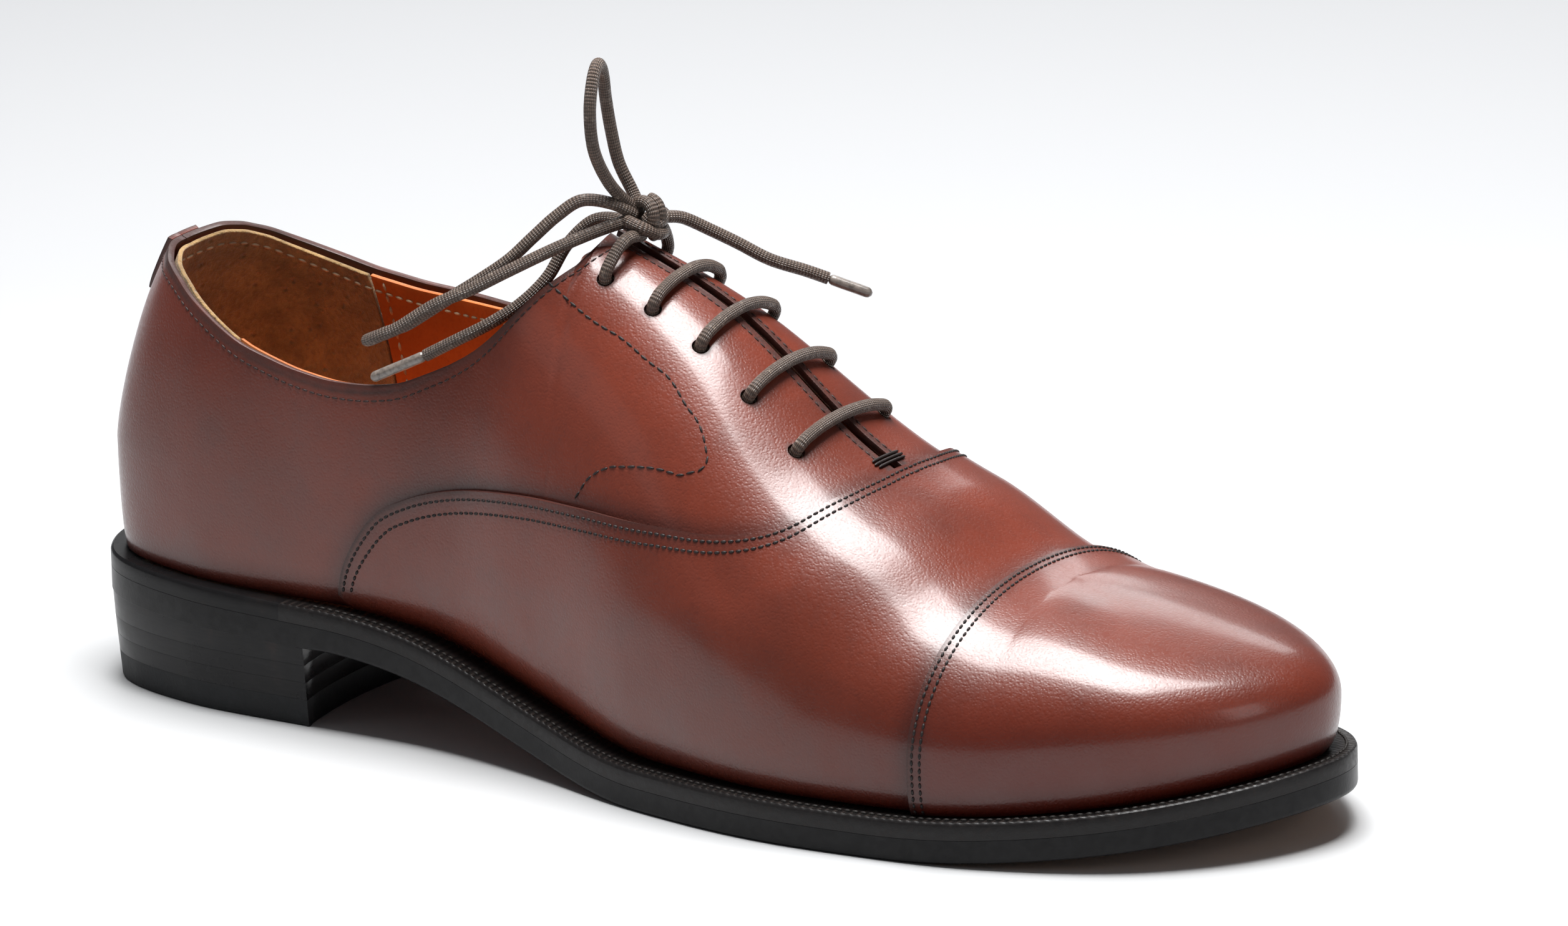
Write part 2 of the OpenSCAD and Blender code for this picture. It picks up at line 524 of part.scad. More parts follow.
// A slab that follows the underside of the sole between two heights above it
SIDE_X = concat([-10, 0, heel_len], [for (k = [1 : 13]) mix(heel_len, tread_start, k / 13)],
                [for (k = [0 : 9]) mix(tread_end, sole_length, k / 9)], [sole_length + 10]);
module band(low, high)
    rotate([90, 0, 0])
    linear_extrude(height = 3 * ball_w, center = true)
    polygon(concat([for (x = SIDE_X) [x, sole_z(x) + low]],
                   [for (k = [len(SIDE_X) - 1 : -1 : 0]) [SIDE_X[k], sole_z(SIDE_X[k]) + high]]));

module layer(outline, low, high)
    intersection() {
        linear_extrude(height = 3 * seat_z) polygon(outline);
        band(low, high);
    }

module outsole()
    color(black_leather)
    layer(edge_outline, 0, outsole_t);

welt_join_x = heel_len - 6;
module welt_ring(front)
    color(black_leather)
    difference() {
        layer(edge_outline, outsole_t, edge_t);
        linear_extrude(height = 3 * seat_z) polygon(feather_outline(welt_seat));
        translate([front ? welt_join_x - sole_length : welt_join_x, -ball_w, 0])
            cube([sole_length, 2 * ball_w, 3 * seat_z]);
    }
module welt() welt_ring(true);
module heel_rand() welt_ring(false);

shank_from = heel_len * 0.55;
shank_to = tread_start - 6;
SHANK_LIFT = 0.8;
module shank_strip(slack)
    intersection() {
        translate([shank_from - slack, -1 - shank_w / 2 - slack, 0])
            cube([shank_to - shank_from + 2 * slack, shank_w + 2 * slack, 3 * seat_z]);
        band(outsole_t + SHANK_LIFT - slack, outsole_t + SHANK_LIFT + shank_t + slack);
    }
module shank()
    color([0.6, 0.62, 0.65])
    shank_strip(0);

FILL_GAP = 0.2;
module cork_filler()
    color([0.62, 0.47, 0.3])
    difference() {
        layer(feather_outline(welt_seat + FILL_GAP), outsole_t, edge_t);
        shank_strip(FILL_GAP / 2);
    }
upper_stack = -lining_in + layer_gap;
module insole()
    color([0.78, 0.65, 0.48])
    layer(feather_outline(upper_stack + 0.4), edge_t, edge_t + insole_t);
module sock_liner()
    color(tan_leather)
    layer(feather_outline(upper_stack), edge_t + insole_t, edge_t + insole_t + sock_t);

// The heel's outline at a height: the sole's own outline, leaning in, closed by the curved breast
HEEL_FAN = [-3 : 0.25 : 3.001];
BREAST_STEPS = 8;
lean_at = function (z) heel_lean * (1 - z / (heel_h + heel_rise));
heel_outline = function (z)
    let (rim = [for (u = HEEL_FAN) plan_point(u, lean_at(z))], a = rim[len(rim) - 1], b = rim[0])
    concat(rim, [for (k = [1 : BREAST_STEPS - 1])
        let (t = k / BREAST_STEPS) [mix(a[0], b[0], t) - breast_curve * 4 * t * (1 - t), mix(a[1], b[1], t)]]);

// A heel lift between two heights; the uppermost one follows the slope of the seat
module heel_slab(low, high, under_seat) {
    bottom = heel_outline(low);
    top = heel_outline(high);
    count = len(bottom);
    top_z = function (p) under_seat ? sole_z(min(p[0], heel_len)) : high;
    points = concat([for (p = bottom) [p[0], p[1], low]], [for (p = top) [p[0], p[1], top_z(p)]],
                    [[seat_x, 0, low], [seat_x, 0, top_z([seat_x, 0])]]);
    faces = [for (k = [0 : count - 1])
        let (next = (k + 1) % count)
        each [[k, next, count + next], [k, count + next, count + k],
              [next, k, 2 * count], [count + k, count + next, 2 * count + 1]]];
    polyhedron(points, [for (f = faces) [f[2], f[1], f[0]]], convexity = 4);
}

lift_t = (heel_h - top_piece_t) / 3;
LIFT_Z = [for (k = [0 : 3]) top_piece_t + k * lift_t];
heel_nail_h = top_piece_t + lift_t / 2;
NAIL_RECESS = 0.4;
NAIL_PLACES = [for (u = [-2.4 : 0.6 : 2.41]) plan_point(u, 9)];
module nail_group(d, low)
    for (p = NAIL_PLACES)
        translate([p[0], p[1], low])
        cylinder(h = heel_nail_h - low, d = d, $fn = 16);
module heel_nails()
    color("goldenrod")
    nail_group(nail_d, NAIL_RECESS);
NAIL_FIT = 0.05;
module nail_holes() nail_group(nail_d + NAIL_FIT, -1);

module heel_top_piece()
    color([0.13, 0.13, 0.14])
    difference() {
        linear_extrude(height = top_piece_t) polygon(heel_outline(top_piece_t / 2));
        nail_holes();
    }
module heel_lift_lower()
    color(black_leather)
    difference() {
        heel_slab(LIFT_Z[0], LIFT_Z[1], false);
        nail_holes();
    }
module heel_lift_middle()
    color(black_leather)
    heel_slab(LIFT_Z[1], LIFT_Z[2], false);
module heel_lift_upper()
    color(black_leather)
    heel_slab(LIFT_Z[2], LIFT_Z[3], true);

// ---------- Lace ----------

lace_brown = [0.26, 0.20, 0.17];
TUBE_SIDES = 8;
// A round cord along a list of points
module tube(route, d) {
    last = len(route) - 1;
    ways = [for (k = [0 : last]) unit(route[min(last, k + 1)] - route[max(0, k - 1)])];
    flat = function (v, way) unit(v - way * (v * way));
    first = flat(abs(ways[0][0]) < 0.8 ? [1, 0, 0] : [0, 0, 1], ways[0]);
    sides = [for (k = 0, side = first; k <= last; k = k + 1, side = k <= last ? flat(side, ways[k]) : side) side];
    points = [for (k = [0 : last]) for (t = [0 : TUBE_SIDES - 1])
        let (angle = 360 * t / TUBE_SIDES)
        route[k] + (sides[k] * cos(angle) + cross(ways[k], sides[k]) * sin(angle)) * d / 2];
    at = function (k, t) k * TUBE_SIDES + t % TUBE_SIDES;
    faces = concat(
        [for (k = [0 : last - 1]) for (t = [0 : TUBE_SIDES - 1])
            each [[at(k, t), at(k + 1, t + 1), at(k, t + 1)], [at(k, t), at(k + 1, t), at(k + 1, t + 1)]]],
        [[for (t = [0 : TUBE_SIDES - 1]) at(0, t)]],
        [[for (t = [TUBE_SIDES - 1 : -1 : 0]) at(last, t)]]);
    polyhedron(points, faces, convexity = 6);
}

leather_out = shell_in + stay_step + upper_t;
lace_r = lace_d / 2;
over_leather = leather_out + lace_r + 0.6;
LACE_TAIL = 1.6;
skin_point = function (u, e, off) last_point(u, e) + last_normal(u, e) * off;
bar_half = function (k, side)
    let (u = side_u(side, HOLE_U[k]), reach = hole_side(k), e = function (d) e_beside_ridge(HOLE_U[k], d))
    [skin_point(u, e(reach), lining_in - LACE_TAIL), skin_point(u, e(reach), leather_out + 0.4),
     skin_point(u, e(reach - 1.6), over_leather), skin_point(u, e(reach * 0.5), over_leather)];
reverse = function (list) [for (k = [len(list) - 1 : -1 : 0]) list[k]];
module lace_bars()
    color(lace_brown)
    for (k = [0 : len(HOLE_U) - 2])
        tube(concat(bar_half(k, OUTER), [skin_point(HOLE_U[k], 1, over_leather)], reverse(bar_half(k, INNER))), lace_d);

// The bow's own points, in the finished shoe's frame
KNOT = [-14, 0, 113];
LOOP_UPRIGHT = [[-16, 0, 115], [-18, -4, 119], [-19, -8, 124], [-19.5, -11.5, 131], [-19.5, -12.5, 139],
                [-20, -10.5, 145.5], [-21, -7, 148.3], [-22.3, -3.5, 145.5], [-23.2, -1.3, 139], [-23, 0, 132],
                [-22, 1, 125], [-19.5, 2, 119], [-17, 1, 116]];
LOOP_BACK = [[-16, -2, 115], [-19, -6, 118], [-24, -10, 119], [-28, -13.5, 116], [-32, -17, 111.5], [-36, -20, 107],
             [-41, -23, 103], [-48, -27, 98], [-55, -30, 93], [-60, -32, 90.5], [-62.5, -34.5, 89.5], [-60, -37, 90.5],
             [-54, -35.5, 93.5], [-47, -32, 98.5], [-40, -28, 102], [-34, -23.5, 105.5], [-27, -17, 109.5],
             [-21, -10, 112.5], [-17, -4, 114]];
END_OUTER = [[-17, -2, 112], [-21, -2, 113.5], [-26.5, -3, 112.5], [-31, -6, 107.5], [-33.5, -10, 101], [-37, -15, 96],
             [-42, -20, 92], [-48, -23.5, 88.5], [-55, -25, 84.6]];
TIP_OUTER = [[-55, -25, 84.6], [-68, -27, 78.3]];
END_FRONT = [[-12, 3, 114], [-10, 7, 113], [-6, 11, 110], [-1, 14, 107], [5, 17, 103.5], [11, 21, 101], [15, 24, 99]];
TIP_FRONT = [[15, 24, 99], [23, 28.5, 95.5]];
tip_d = lace_d * 0.85;

top_strand = function (side)
    let (k = len(HOLE_U) - 1, u = side_u(side, HOLE_U[k]), reach = hole_side(k),
         e = function (d) e_beside_ridge(HOLE_U[k], d))
    [skin_point(u, e(reach), lining_in - LACE_TAIL), skin_point(u, e(reach), leather_out + 0.4),
     skin_point(u, e(reach - 2), over_leather + 0.6), skin_point(u, e(reach * 0.5), over_leather + 2.5),
     KNOT - place_shift + [0, side * 2.5, -2]];
module lace_top_strands()
    color(lace_brown) {
        tube(top_strand(OUTER), lace_d);
        tube(top_strand(INNER), lace_d);
    }

knot_d = 4 * lace_d;
module lace_knot()
    color(lace_brown)
    translate(KNOT)
    rotate([90, 0, 0])
    rotate_extrude($fn = 32)
    translate([0.001, 0])
    intersection() {
        hull()
            for (z = [-1, 1])
                translate([0, z * lace_d * 0.6])
                circle(d = knot_d - lace_d, $fn = 24);
        translate([0, -knot_d]) square([knot_d, 2 * knot_d]);
    }
module lace_loop_upright() color(lace_brown) tube(LOOP_UPRIGHT, lace_d);
module lace_loop_back() color(lace_brown) tube(LOOP_BACK, lace_d);
module lace_end_outer() color(lace_brown) tube(END_OUTER, lace_d);
module lace_end_front() color(lace_brown) tube(END_FRONT, lace_d);
module lace_tip_outer() color([0.6, 0.57, 0.5]) tube(TIP_OUTER, tip_d);
module lace_tip_front() color([0.6, 0.57, 0.5]) tube(TIP_FRONT, tip_d);

// ---------- The assembly ----------

// The source is laid out from the heel's back; the shift brings the origin under the shoe's middle.
place_shift = [-sole_length / 2, (ball_outer - ball_inner) / 2, 0];
module place() translate(place_shift) children();

place() outsole();
place() welt();
place() heel_rand();
place() heel_lift_upper();
place() heel_lift_middle();
place() heel_lift_lower();
place() heel_top_piece();
place() heel_nails();
place() shank();
place() cork_filler();
place() insole();
place() sock_liner();
place() toe_cap();
place() vamp();
place() quarter_panel(OUTER);  // quarter_outer
place() quarter_panel(INNER);  // quarter_inner
place() back_tab();
place() facing_stay(OUTER);  // facing_stay_outer
place() facing_stay(INNER);  // facing_stay_inner
place() heel_counter();
place() toe_puff();
place() vamp_lining();
place() quarter_lining(OUTER);  // quarter_lining_outer
place() quarter_lining(INNER);  // quarter_lining_inner
place() heel_grip();
place() tongue();
place() lace_bars();
place() lace_top_strands();
lace_knot();
lace_loop_upright();
lace_loop_back();
lace_end_outer();
lace_end_front();
lace_tip_outer();
lace_tip_front();
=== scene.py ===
"""Leather oxford shoe: fine models of its panels, sole, stitches and lace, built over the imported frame."""
import math
import bmesh
import bpy
import numpy as np
from mathutils import Matrix, Vector


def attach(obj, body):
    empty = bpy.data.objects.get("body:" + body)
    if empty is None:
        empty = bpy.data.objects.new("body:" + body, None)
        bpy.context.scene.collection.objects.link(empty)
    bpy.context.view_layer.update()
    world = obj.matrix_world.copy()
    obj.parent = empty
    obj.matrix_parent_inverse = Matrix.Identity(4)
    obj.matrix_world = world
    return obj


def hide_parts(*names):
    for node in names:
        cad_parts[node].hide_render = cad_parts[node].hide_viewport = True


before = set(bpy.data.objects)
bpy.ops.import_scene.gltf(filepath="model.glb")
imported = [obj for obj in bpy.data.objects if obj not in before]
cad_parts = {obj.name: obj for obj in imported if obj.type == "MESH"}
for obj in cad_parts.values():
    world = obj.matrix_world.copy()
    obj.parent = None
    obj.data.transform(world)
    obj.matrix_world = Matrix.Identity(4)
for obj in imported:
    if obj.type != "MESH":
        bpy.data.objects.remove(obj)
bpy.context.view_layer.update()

bl_info = {
    "name": "Oxford Shoe",
    "version": (1, 0, 0),
    "blender": (4, 5, 0),
    "location": "3D View > Sidebar > Oxford Shoe",
    "description": "Builds a closed-lacing leather shoe with its lining, welted sole, stitches and lace",
    "category": "Object",
}

MM = 0.001
OUTER, INNER = -1, 1

# ---------- The last, in mm from the heel's back, with the part's own sizes ----------

SOLE_L, BALL_W, WAIST_W, SEAT_W, TOE_SWING = 302, 104, 60, 65, 10
OUTSOLE_T, WELT_T, TOE_SPRING, WELT_SEAT = 5.2, 3.8, 9, 4
HEEL_H, HEEL_RISE, HEEL_LEN, BREAST_CURVE, TOP_PIECE_T, HEEL_LEAN = 17.8, 2, 67, 4, 6, 1.6
THROAT_H, INSTEP_H, TOE_BOX_H = 52, 82, 37
UPPER_T, LINING_T, STIFFENER_T, STAY_T, GAP = 1.4, 1, 1, 0.5, 0.3
LAP, SLIT_W, LACE_D, HOLE_D = 10, 3, 2.7, 3.8
HOLE_U = (6.8, 6.4, 6, 5.6, 5.2)
HOLE_SIDE = np.linspace(17, 12, 5)
TONGUE_HALF_W, TONGUE_T = 30, 2

EDGE_T = OUTSOLE_T + WELT_T
SEAT_R = SEAT_W / 2
SEAT_X = SEAT_R + 1.5
STATIONS = 24
FEATHER_SHARE, FOOT_E, FOOT_GAP = 0.2, 0.03, 0.1
TOE_FAN, TOE_TILT = 9, 0.16
U_MM, E_MM = 30, 90


def foot_x(share):
    return HEEL_LEN + (SOLE_L - HEEL_LEN) * share


def make_ring():
    """One row for each station round the foot: edge x, y, spine x, y, and the section's shape."""
    waist_out, waist_in = WAIST_W * 0.54, WAIST_W * 0.44
    ball_out, ball_in = BALL_W * 0.49, BALL_W * 0.51
    x = [0, 0.27 * SEAT_X, SEAT_X, HEEL_LEN]
    x += [foot_x(s) for s in (0.135, 0.265, 0.395, 0.525, 0.64, 0.76, 0.885, 0.966, 1)]
    out_y = [0, 0.67 * SEAT_R, 0.96 * SEAT_R, SEAT_R, waist_out, waist_out + (ball_out - waist_out) * 0.28,
             waist_out + (ball_out - waist_out) * 0.74, ball_out, ball_out * 0.985, ball_out * 0.895,
             ball_out * 0.64, ball_out * 0.255, -TOE_SWING]
    in_y = [0, 0.71 * SEAT_R, SEAT_R, SEAT_R, waist_in, waist_in + (ball_in - waist_in) * 0.02,
            waist_in + (ball_in - waist_in) * 0.4, ball_in * 0.92, ball_in, ball_in * 0.965,
            ball_in * 0.815, ball_in * 0.53, TOE_SWING]
    toe_x, toe_y = x[TOE_FAN] - 4, TOE_SWING * 0.37
    spine_x = [SEAT_X] * 3 + x[3:9] + [toe_x] * 4
    spine_y = [0, 0, 0, -1, -1, -1, 0.5, 1.3, 2.3] + [toe_y] * 4
    wide_h = [24.5, 24.5, 25, 22, 22, 20, 17, 14.5, 13.5, 12.5, 12.5, 11, 11]
    cone_z, toe_z = HEEL_H + EDGE_T + INSTEP_H, EDGE_T + TOE_BOX_H + 2.3
    ridge_z = [cone_z + 11] * 3 + [cone_z + 17, cone_z + 11, cone_z + 1, cone_z - 13,
                                   HEEL_H + EDGE_T + THROAT_H - 7, toe_z + 9.7] + [toe_z] * 4
    wall = [3.6, 3.7, 3.9, 4.2, 5, 4.5, 3.6, 3.2, 3.2, 4.5, 4.8, 5, 5]
    feather = [5, 5.3, 6, 8, 11, 10, 8, 7, 7, 7.4, 7.8, 8, 8]
    fullness = [1.35, 1.35, 1, 0.9, 0.9, 0.92, 0.95, 0.93, 0.93, 0.93, 0.9, 0.9, 0.9]
    climb = [1.47, 1.47, 1.1] + [1] * 10

    def station(k, side):
        return [x[k], -out_y[k] if side == OUTER else in_y[k], spine_x[k], spine_y[k], wide_h[k],
                ridge_z[k], wall[k], feather[k], fullness[k], climb[k]]
    rows = [station(k, OUTER) for k in range(13)] + [station(k, INNER) for k in range(11, 0, -1)]
    return np.array(rows, float)


RING = make_ring()
TREAD_START, TREAD_END = foot_x(0.41), foot_x(0.66)
TOE_LEAD = RING[TOE_FAN] + (RING[TOE_FAN] - RING[TOE_FAN - 1]) * [1, 1, 1, 1, 1, 0, 1, 1, 1, 1] - [
    0, 0, 0, 0, 0, TOE_TILT * 48 - (RING[TOE_FAN - 1] - RING[TOE_FAN])[5], 0, 0, 0, 0]
SHIFT = np.array([-SOLE_L / 2, (BALL_W * 0.49 - BALL_W * 0.51) / 2, 0])


def cubic(a, b, c, d, f):
    return (2 * b + (c - a) * f + (2 * a - 5 * b + 4 * c - d) * f * f + (3 * b - a - 3 * c + d) * f ** 3) / 2


def section(u):
    """The ring's row at any u, in the order that make_ring gives."""
    u = np.asarray(u, float)
    k = np.floor(u).astype(int)
    f = (u - k)[..., None]
    r = cubic(*[RING[(k + step) % STATIONS] for step in (-1, 0, 1, 2)], f)
    # In the toe every column meets at one point, which the ridge reaches without a kink.
    near = np.minimum(np.minimum(u % STATIONS, STATIONS - u % STATIONS), TOE_FAN)
    k = np.minimum(np.floor(near).astype(int), TOE_FAN - 1)
    f = (near - k)[..., None]
    ahead = np.where((k == TOE_FAN - 1)[..., None], TOE_LEAD, RING[k + 2])
    ridge = cubic(RING[(k - 1) % STATIONS], RING[k], RING[k + 1], ahead, f)
    keep = np.array([0, 0, 1, 1, 0, 1, 0, 0, 0, 0], bool)
    return np.where(keep, ridge, r)


def sole_z(x):
    """Height of the outsole's underside."""
    x = np.asarray(x, float)
    seat = HEEL_H + HEEL_RISE * (1 - np.maximum(x, 0) / HEEL_LEN)
    waist = HEEL_H * (1 + np.cos(np.pi * (x - HEEL_LEN) / (TREAD_START - HEEL_LEN))) / 2
    toe = TOE_SPRING * np.maximum(0, (np.minimum(x, SOLE_L) - TREAD_END) / (SOLE_L - TREAD_END)) ** 1.8
    return np.where(x < HEEL_LEN, seat, np.where(x < TREAD_START, waist, toe))


def on_side(side, u):
    return u if side == OUTER else STATIONS - u


def last_point(u, e):
    """A point of the last: u runs round the foot, e climbs from the feather edge to the ridge."""
    u, e = np.broadcast_arrays(np.asarray(u, float), np.asarray(e, float))
    r = section(u)
    away = r[..., 0:2] - r[..., 2:4]
    reach = np.linalg.norm(away, axis=-1)
    away = away / reach[..., None]
    welt_z, wall = sole_z(r[..., 0]) + EDGE_T, reach - r[..., 6]
    low = np.minimum(1, e / FEATHER_SHARE) * np.pi / 2
    rise = np.maximum(0, (e - FEATHER_SHARE) / (1 - FEATHER_SHARE)) * np.pi / 2
    is_low = e < FEATHER_SHARE
    across = np.where(is_low, reach - r[..., 7] + (r[..., 7] - r[..., 6]) * np.sin(low),
                      wall * np.maximum(0, np.cos(rise)) ** r[..., 8])
    z = welt_z + r[..., 4] + (r[..., 5] - welt_z - r[..., 4]) * np.sin(rise) ** r[..., 9]
    forward = np.clip((away[..., 0] - 0.1) / 0.9, 0, 1)
    tilt = TOE_TILT * forward ** 2 * (2 - forward) * across * np.sin(rise) ** 2
    z = np.where(is_low, welt_z + r[..., 4] * (1 - np.cos(low)), z - tilt)
    return np.stack([r[..., 2] + away[..., 0] * across, r[..., 3] + away[..., 1] * across, z], -1)


def unit(v):
    return v / np.maximum(1e-9, np.linalg.norm(v, axis=-1, keepdims=True))


def last_normal(u, e):
    """The last's outward direction, which turns into the ridge's own near the ridge."""
    u, e = np.broadcast_arrays(np.asarray(u, float), np.asarray(e, float))
    step = 0.01
    along = last_point(u + step, e) - last_point(u - step, e)
    up = last_point(u, np.minimum(0.99, e + step)) - last_point(u, np.maximum(0, e - step))
    free = unit(np.cross(along, up))
    near = np.minimum(np.minimum(u, STATIONS - u), TOE_FAN - 0.12)
    d = last_point(near + 0.1, 1) - last_point(near - 0.1, 1)
    ridge = unit(np.stack([-d[..., 2], 0 * d[..., 0], d[..., 0]], -1))
    share = ease((e - 0.9) / 0.1)[..., None]
    return unit(free * (1 - share) + ridge * share)


def skin(u, e, offset):
    """A point at an offset outside the last, kept above the welt."""
    p = last_point(u, e) + last_normal(u, e) * np.asarray(offset, float)[..., None]
    p[..., 2] = np.maximum(p[..., 2], sole_z(p[..., 0]) + EDGE_T + FOOT_GAP)
    return p


def ease(t):
    c = np.clip(t, 0, 1)
    return c * c * (3 - 2 * c)


def mix(a, b, t):
    return a + (b - a) * t


def e_beside_ridge(u, distance):
    """The e of a point that is a distance in mm off the ridge."""
    r = section(u)
    wall = np.linalg.norm(r[..., 0:2] - r[..., 2:4], axis=-1) - r[..., 6]
    share = np.minimum(1, distance / wall) ** (1 / r[..., 8])
    return FEATHER_SHARE + (1 - FEATHER_SHARE) * np.degrees(np.arccos(share)) / 90


def e_at_height(u, height):
    """The e of a point at a height in mm over the floor."""
    r = section(u)
    z0 = sole_z(r[..., 0]) + EDGE_T + r[..., 4]
    share = np.clip((height - z0) / (r[..., 5] - z0), 0, 1) ** (1 / r[..., 9])
    return FEATHER_SHARE + (1 - FEATHER_SHARE) * np.degrees(np.arcsin(share)) / 90


def line_at(line, t):
    """A smooth line through points, t counting the points."""
    line, t = np.asarray(line, float), np.asarray(t, float)
    k = np.clip(np.floor(t).astype(int), 0, len(line) - 2)
    f = (t - k)[..., None]
    padded = np.concatenate([[2 * line[0] - line[1]], line, [2 * line[-1] - line[-2]]])
    return cubic(padded[k], padded[k + 1], padded[k + 2], padded[k + 3], f)


# ---------- Pattern lines of the upper, as (u, e) ----------

VAMP_SEAM = [(3.15, 0), (3.26, 0.12), (3.5, 0.2), (3.8, 0.25), (4.3, 0.31), (4.9, 0.37), (5.5, 0.42),
             (6.1, 0.47), (6.6, 0.54), (7, 0.65), (7.2, 0.78), (7.3, 0.9), (7.32, 1)]
SEAM_END = len(VAMP_SEAM) - 1
SWAN_NECK = [(4.85, 0.74), (4.95, 0.735), (5.23, 0.725), (5.5, 0.73), (5.73, 0.725), (5.93, 0.725),
             (6.1, 0.705), (6.23, 0.695), (6.33, 0.67), (6.38, 0.64), (6.3, 0.605), (6.23, 0.585),
             (6.03, 0.56), (5.78, 0.525), (5.65, 0.505), (5.5, 0.47), (5.4, 0.43)]
RIM_OUTER = ([0, 0.7, 1.2, 1.55, 1.8, 2.13, 2.48, 2.86, 3.18, 3.47, 3.72, 4.1, 4.3, 4.48, 4.6, 4.8, 5],
             [67.4, 68, 67.4, 66.6, 65, 60.4, 54.6, 51.2, 49.8, 49.8, 51, 56.4, 60, 64.4, 68.4, 74.6, 79.5])
RIM_INNER = ([0, 0.7, 1.1, 1.53, 2.07, 2.42, 2.79, 3.2, 3.6, 3.9, 4.2, 4.4, 4.6, 4.8, 5],
             [67.4, 69, 68.3, 66.2, 61.4, 58.3, 56.7, 56.4, 56.8, 57.8, 60.6, 64, 68.8, 74.7, 79.5])
FACING_TOP_U = 5


def smooth_topline(rim):
    """Heights of a side's topline at close steps of u, with the corners of its straight pieces rounded."""
    u = np.arange(0, FACING_TOP_U + 0.001, 0.01)
    h = np.interp(u, *rim)
    reach = np.arange(-24, 25)
    weight = np.exp(-(reach / 9) ** 2)
    full = np.concatenate([h[24:0:-1], h, 2 * h[-1] - h[-2:-26:-1]])
    return u, np.convolve(full, weight / weight.sum(), "valid")


TOPLINES = {OUTER: smooth_topline(RIM_OUTER), INNER: smooth_topline(RIM_INNER)}


def facing_e(u):
    return e_beside_ridge(u, SLIT_W / 2)


def top_e(u, side=OUTER):
    u = np.asarray(u, float)
    rim = np.minimum(e_at_height(u, HEEL_H + EDGE_T + np.interp(u, *TOPLINES[side])), facing_e(u))
    return np.where(u < FACING_TOP_U, rim, facing_e(u))


def top_round_heel(us):
    """The topline from the inner side, where u is below 0, round to the outer side."""
    return np.where(us < 0, top_e(np.abs(us), INNER), top_e(np.abs(us), OUTER))


def ahead_of_seam(t, distance):
    """(u, e) beside the vamp's rear edge, a distance in mm inside the vamp."""
    t = np.asarray(t, float)
    d = line_at(VAMP_SEAM, np.minimum(SEAM_END, t + 0.1)) - line_at(VAMP_SEAM, np.maximum(0, t - 0.1))
    way = unit(d * [U_MM, E_MM])
    p = line_at(VAMP_SEAM, t)
    return np.stack([p[..., 0] + way[..., 1] * distance / U_MM,
                     np.maximum(FOOT_E, p[..., 1] - way[..., 0] * distance / E_MM)], -1)


# Offsets outside the last of each layer's faces, and where its layers thicken

SHELL_IN = -UPPER_T
LINING_OUT = SHELL_IN - GAP
LINING_IN = LINING_OUT - LINING_T
STAY_STEP = STAY_T + 2 * GAP
COUNTER_END = 2.9
SEAM_POINTS = line_at(VAMP_SEAM, np.arange(0, SEAM_END + 0.01, 0.4))


def counter_top(u):
    return 0.46 - 0.05 * (u / COUNTER_END) ** 2


def counter_zone(u, e):
    top = counter_top(u)
    return ease((COUNTER_END + 1.3 - u) / 1.2) * ease((top + 0.3 - e) / 0.27)


def stay_zone(u, e):
    edge = e_beside_ridge(u, 25)
    wide = 1 - edge
    return ease((e - edge + wide * 1.2) / (wide * 1.15)) * ease((u - 4.2) / 0.6)


def quarter_in(u, e):
    return SHELL_IN + (STIFFENER_T + GAP) * counter_zone(u, e) + STAY_STEP * stay_zone(u, e)


def vamp_in(u, e):
    gaps = (np.stack([u, e], -1)[..., None, :] - SEAM_POINTS) * [U_MM, E_MM]
    away = np.linalg.norm(gaps, axis=-1).min(-1)
    over = 1 - ease((away - LAP - 1) / 26)
    return SHELL_IN + over * (UPPER_T + 1.5 * GAP + STAY_STEP * stay_zone(u, e))


CAP_IN = SHELL_IN + UPPER_T + GAP
CAP_U, CAP_BEND, CAP_U_MM = 8.6, 0.12, 28
VAMP_FRONT, VAMP_TOE = 7.36, 8.93
QUARTER_COLUMNS = [(u, -1, u) for u in (0, 0.45, 0.9, 1.3, 1.7, 2.1, 2.5, 2.9)]
QUARTER_COLUMNS += [(-1, t, u) for t, u in (
    (0, 3.2), (1.2, 3.5), (2.2, 3.85), (3.1, 4.15), (3.7, 4.4), (4.3, 4.62), (4.8, 4.82), (5.3, 5), (6, 5.35),
    (6.7, 5.7), (7.3, 6.05), (7.9, 6.4), (8.5, 6.7), (9.1, 7), (9.8, 7.2), (10.6, 7.4), (11.3, 7.6))]


GRIP_LOW, GRIP_TOP = 2.68, 2.42
LINING_COLUMNS = [(GRIP_LOW, -1, GRIP_TOP), (2.98, -1, 2.85)] + QUARTER_COLUMNS[8:]


def quarter_grid(side, all_columns, ahead, trim, per_column, rows):
    """Columns of (u, e) from the quarter's lower edge to its top edge."""
    points = []
    for u, t, top in all_columns:
        low = ahead_of_seam(t, ahead) if u < 0 else (u, FOOT_E)
        points.append((low[0], low[1], top))
    fine = line_at(points, np.linspace(0, len(points) - 1, (len(points) - 1) * per_column + 1))
    w = np.linspace(0, 1, rows + 1)
    high = top_e(fine[:, 2], side) - trim / E_MM
    return (mix(fine[:, 0:1], fine[:, 2:3], w),
            mix(np.maximum(FOOT_E, fine[:, 1:2]), high[:, None], w))


def wing_foot(t):
    return mix(3.2, 7.15, (t / SEAM_END) ** 1.15)


def saddle_grid(wing, top, front, front_foot, rows):
    """Columns of (u, e) of a piece that wraps the forefoot, its wings first."""
    low_u = np.concatenate([wing_foot(wing), front_foot])
    high = np.concatenate([top, np.stack([front, 0 * front + 1], -1)])
    w = np.linspace(0, 1, rows + 1)
    return mix(low_u[:, None], high[:, 0:1], w), mix(FOOT_E, high[:, 1:2], w)


# ---------- Meshes ----------

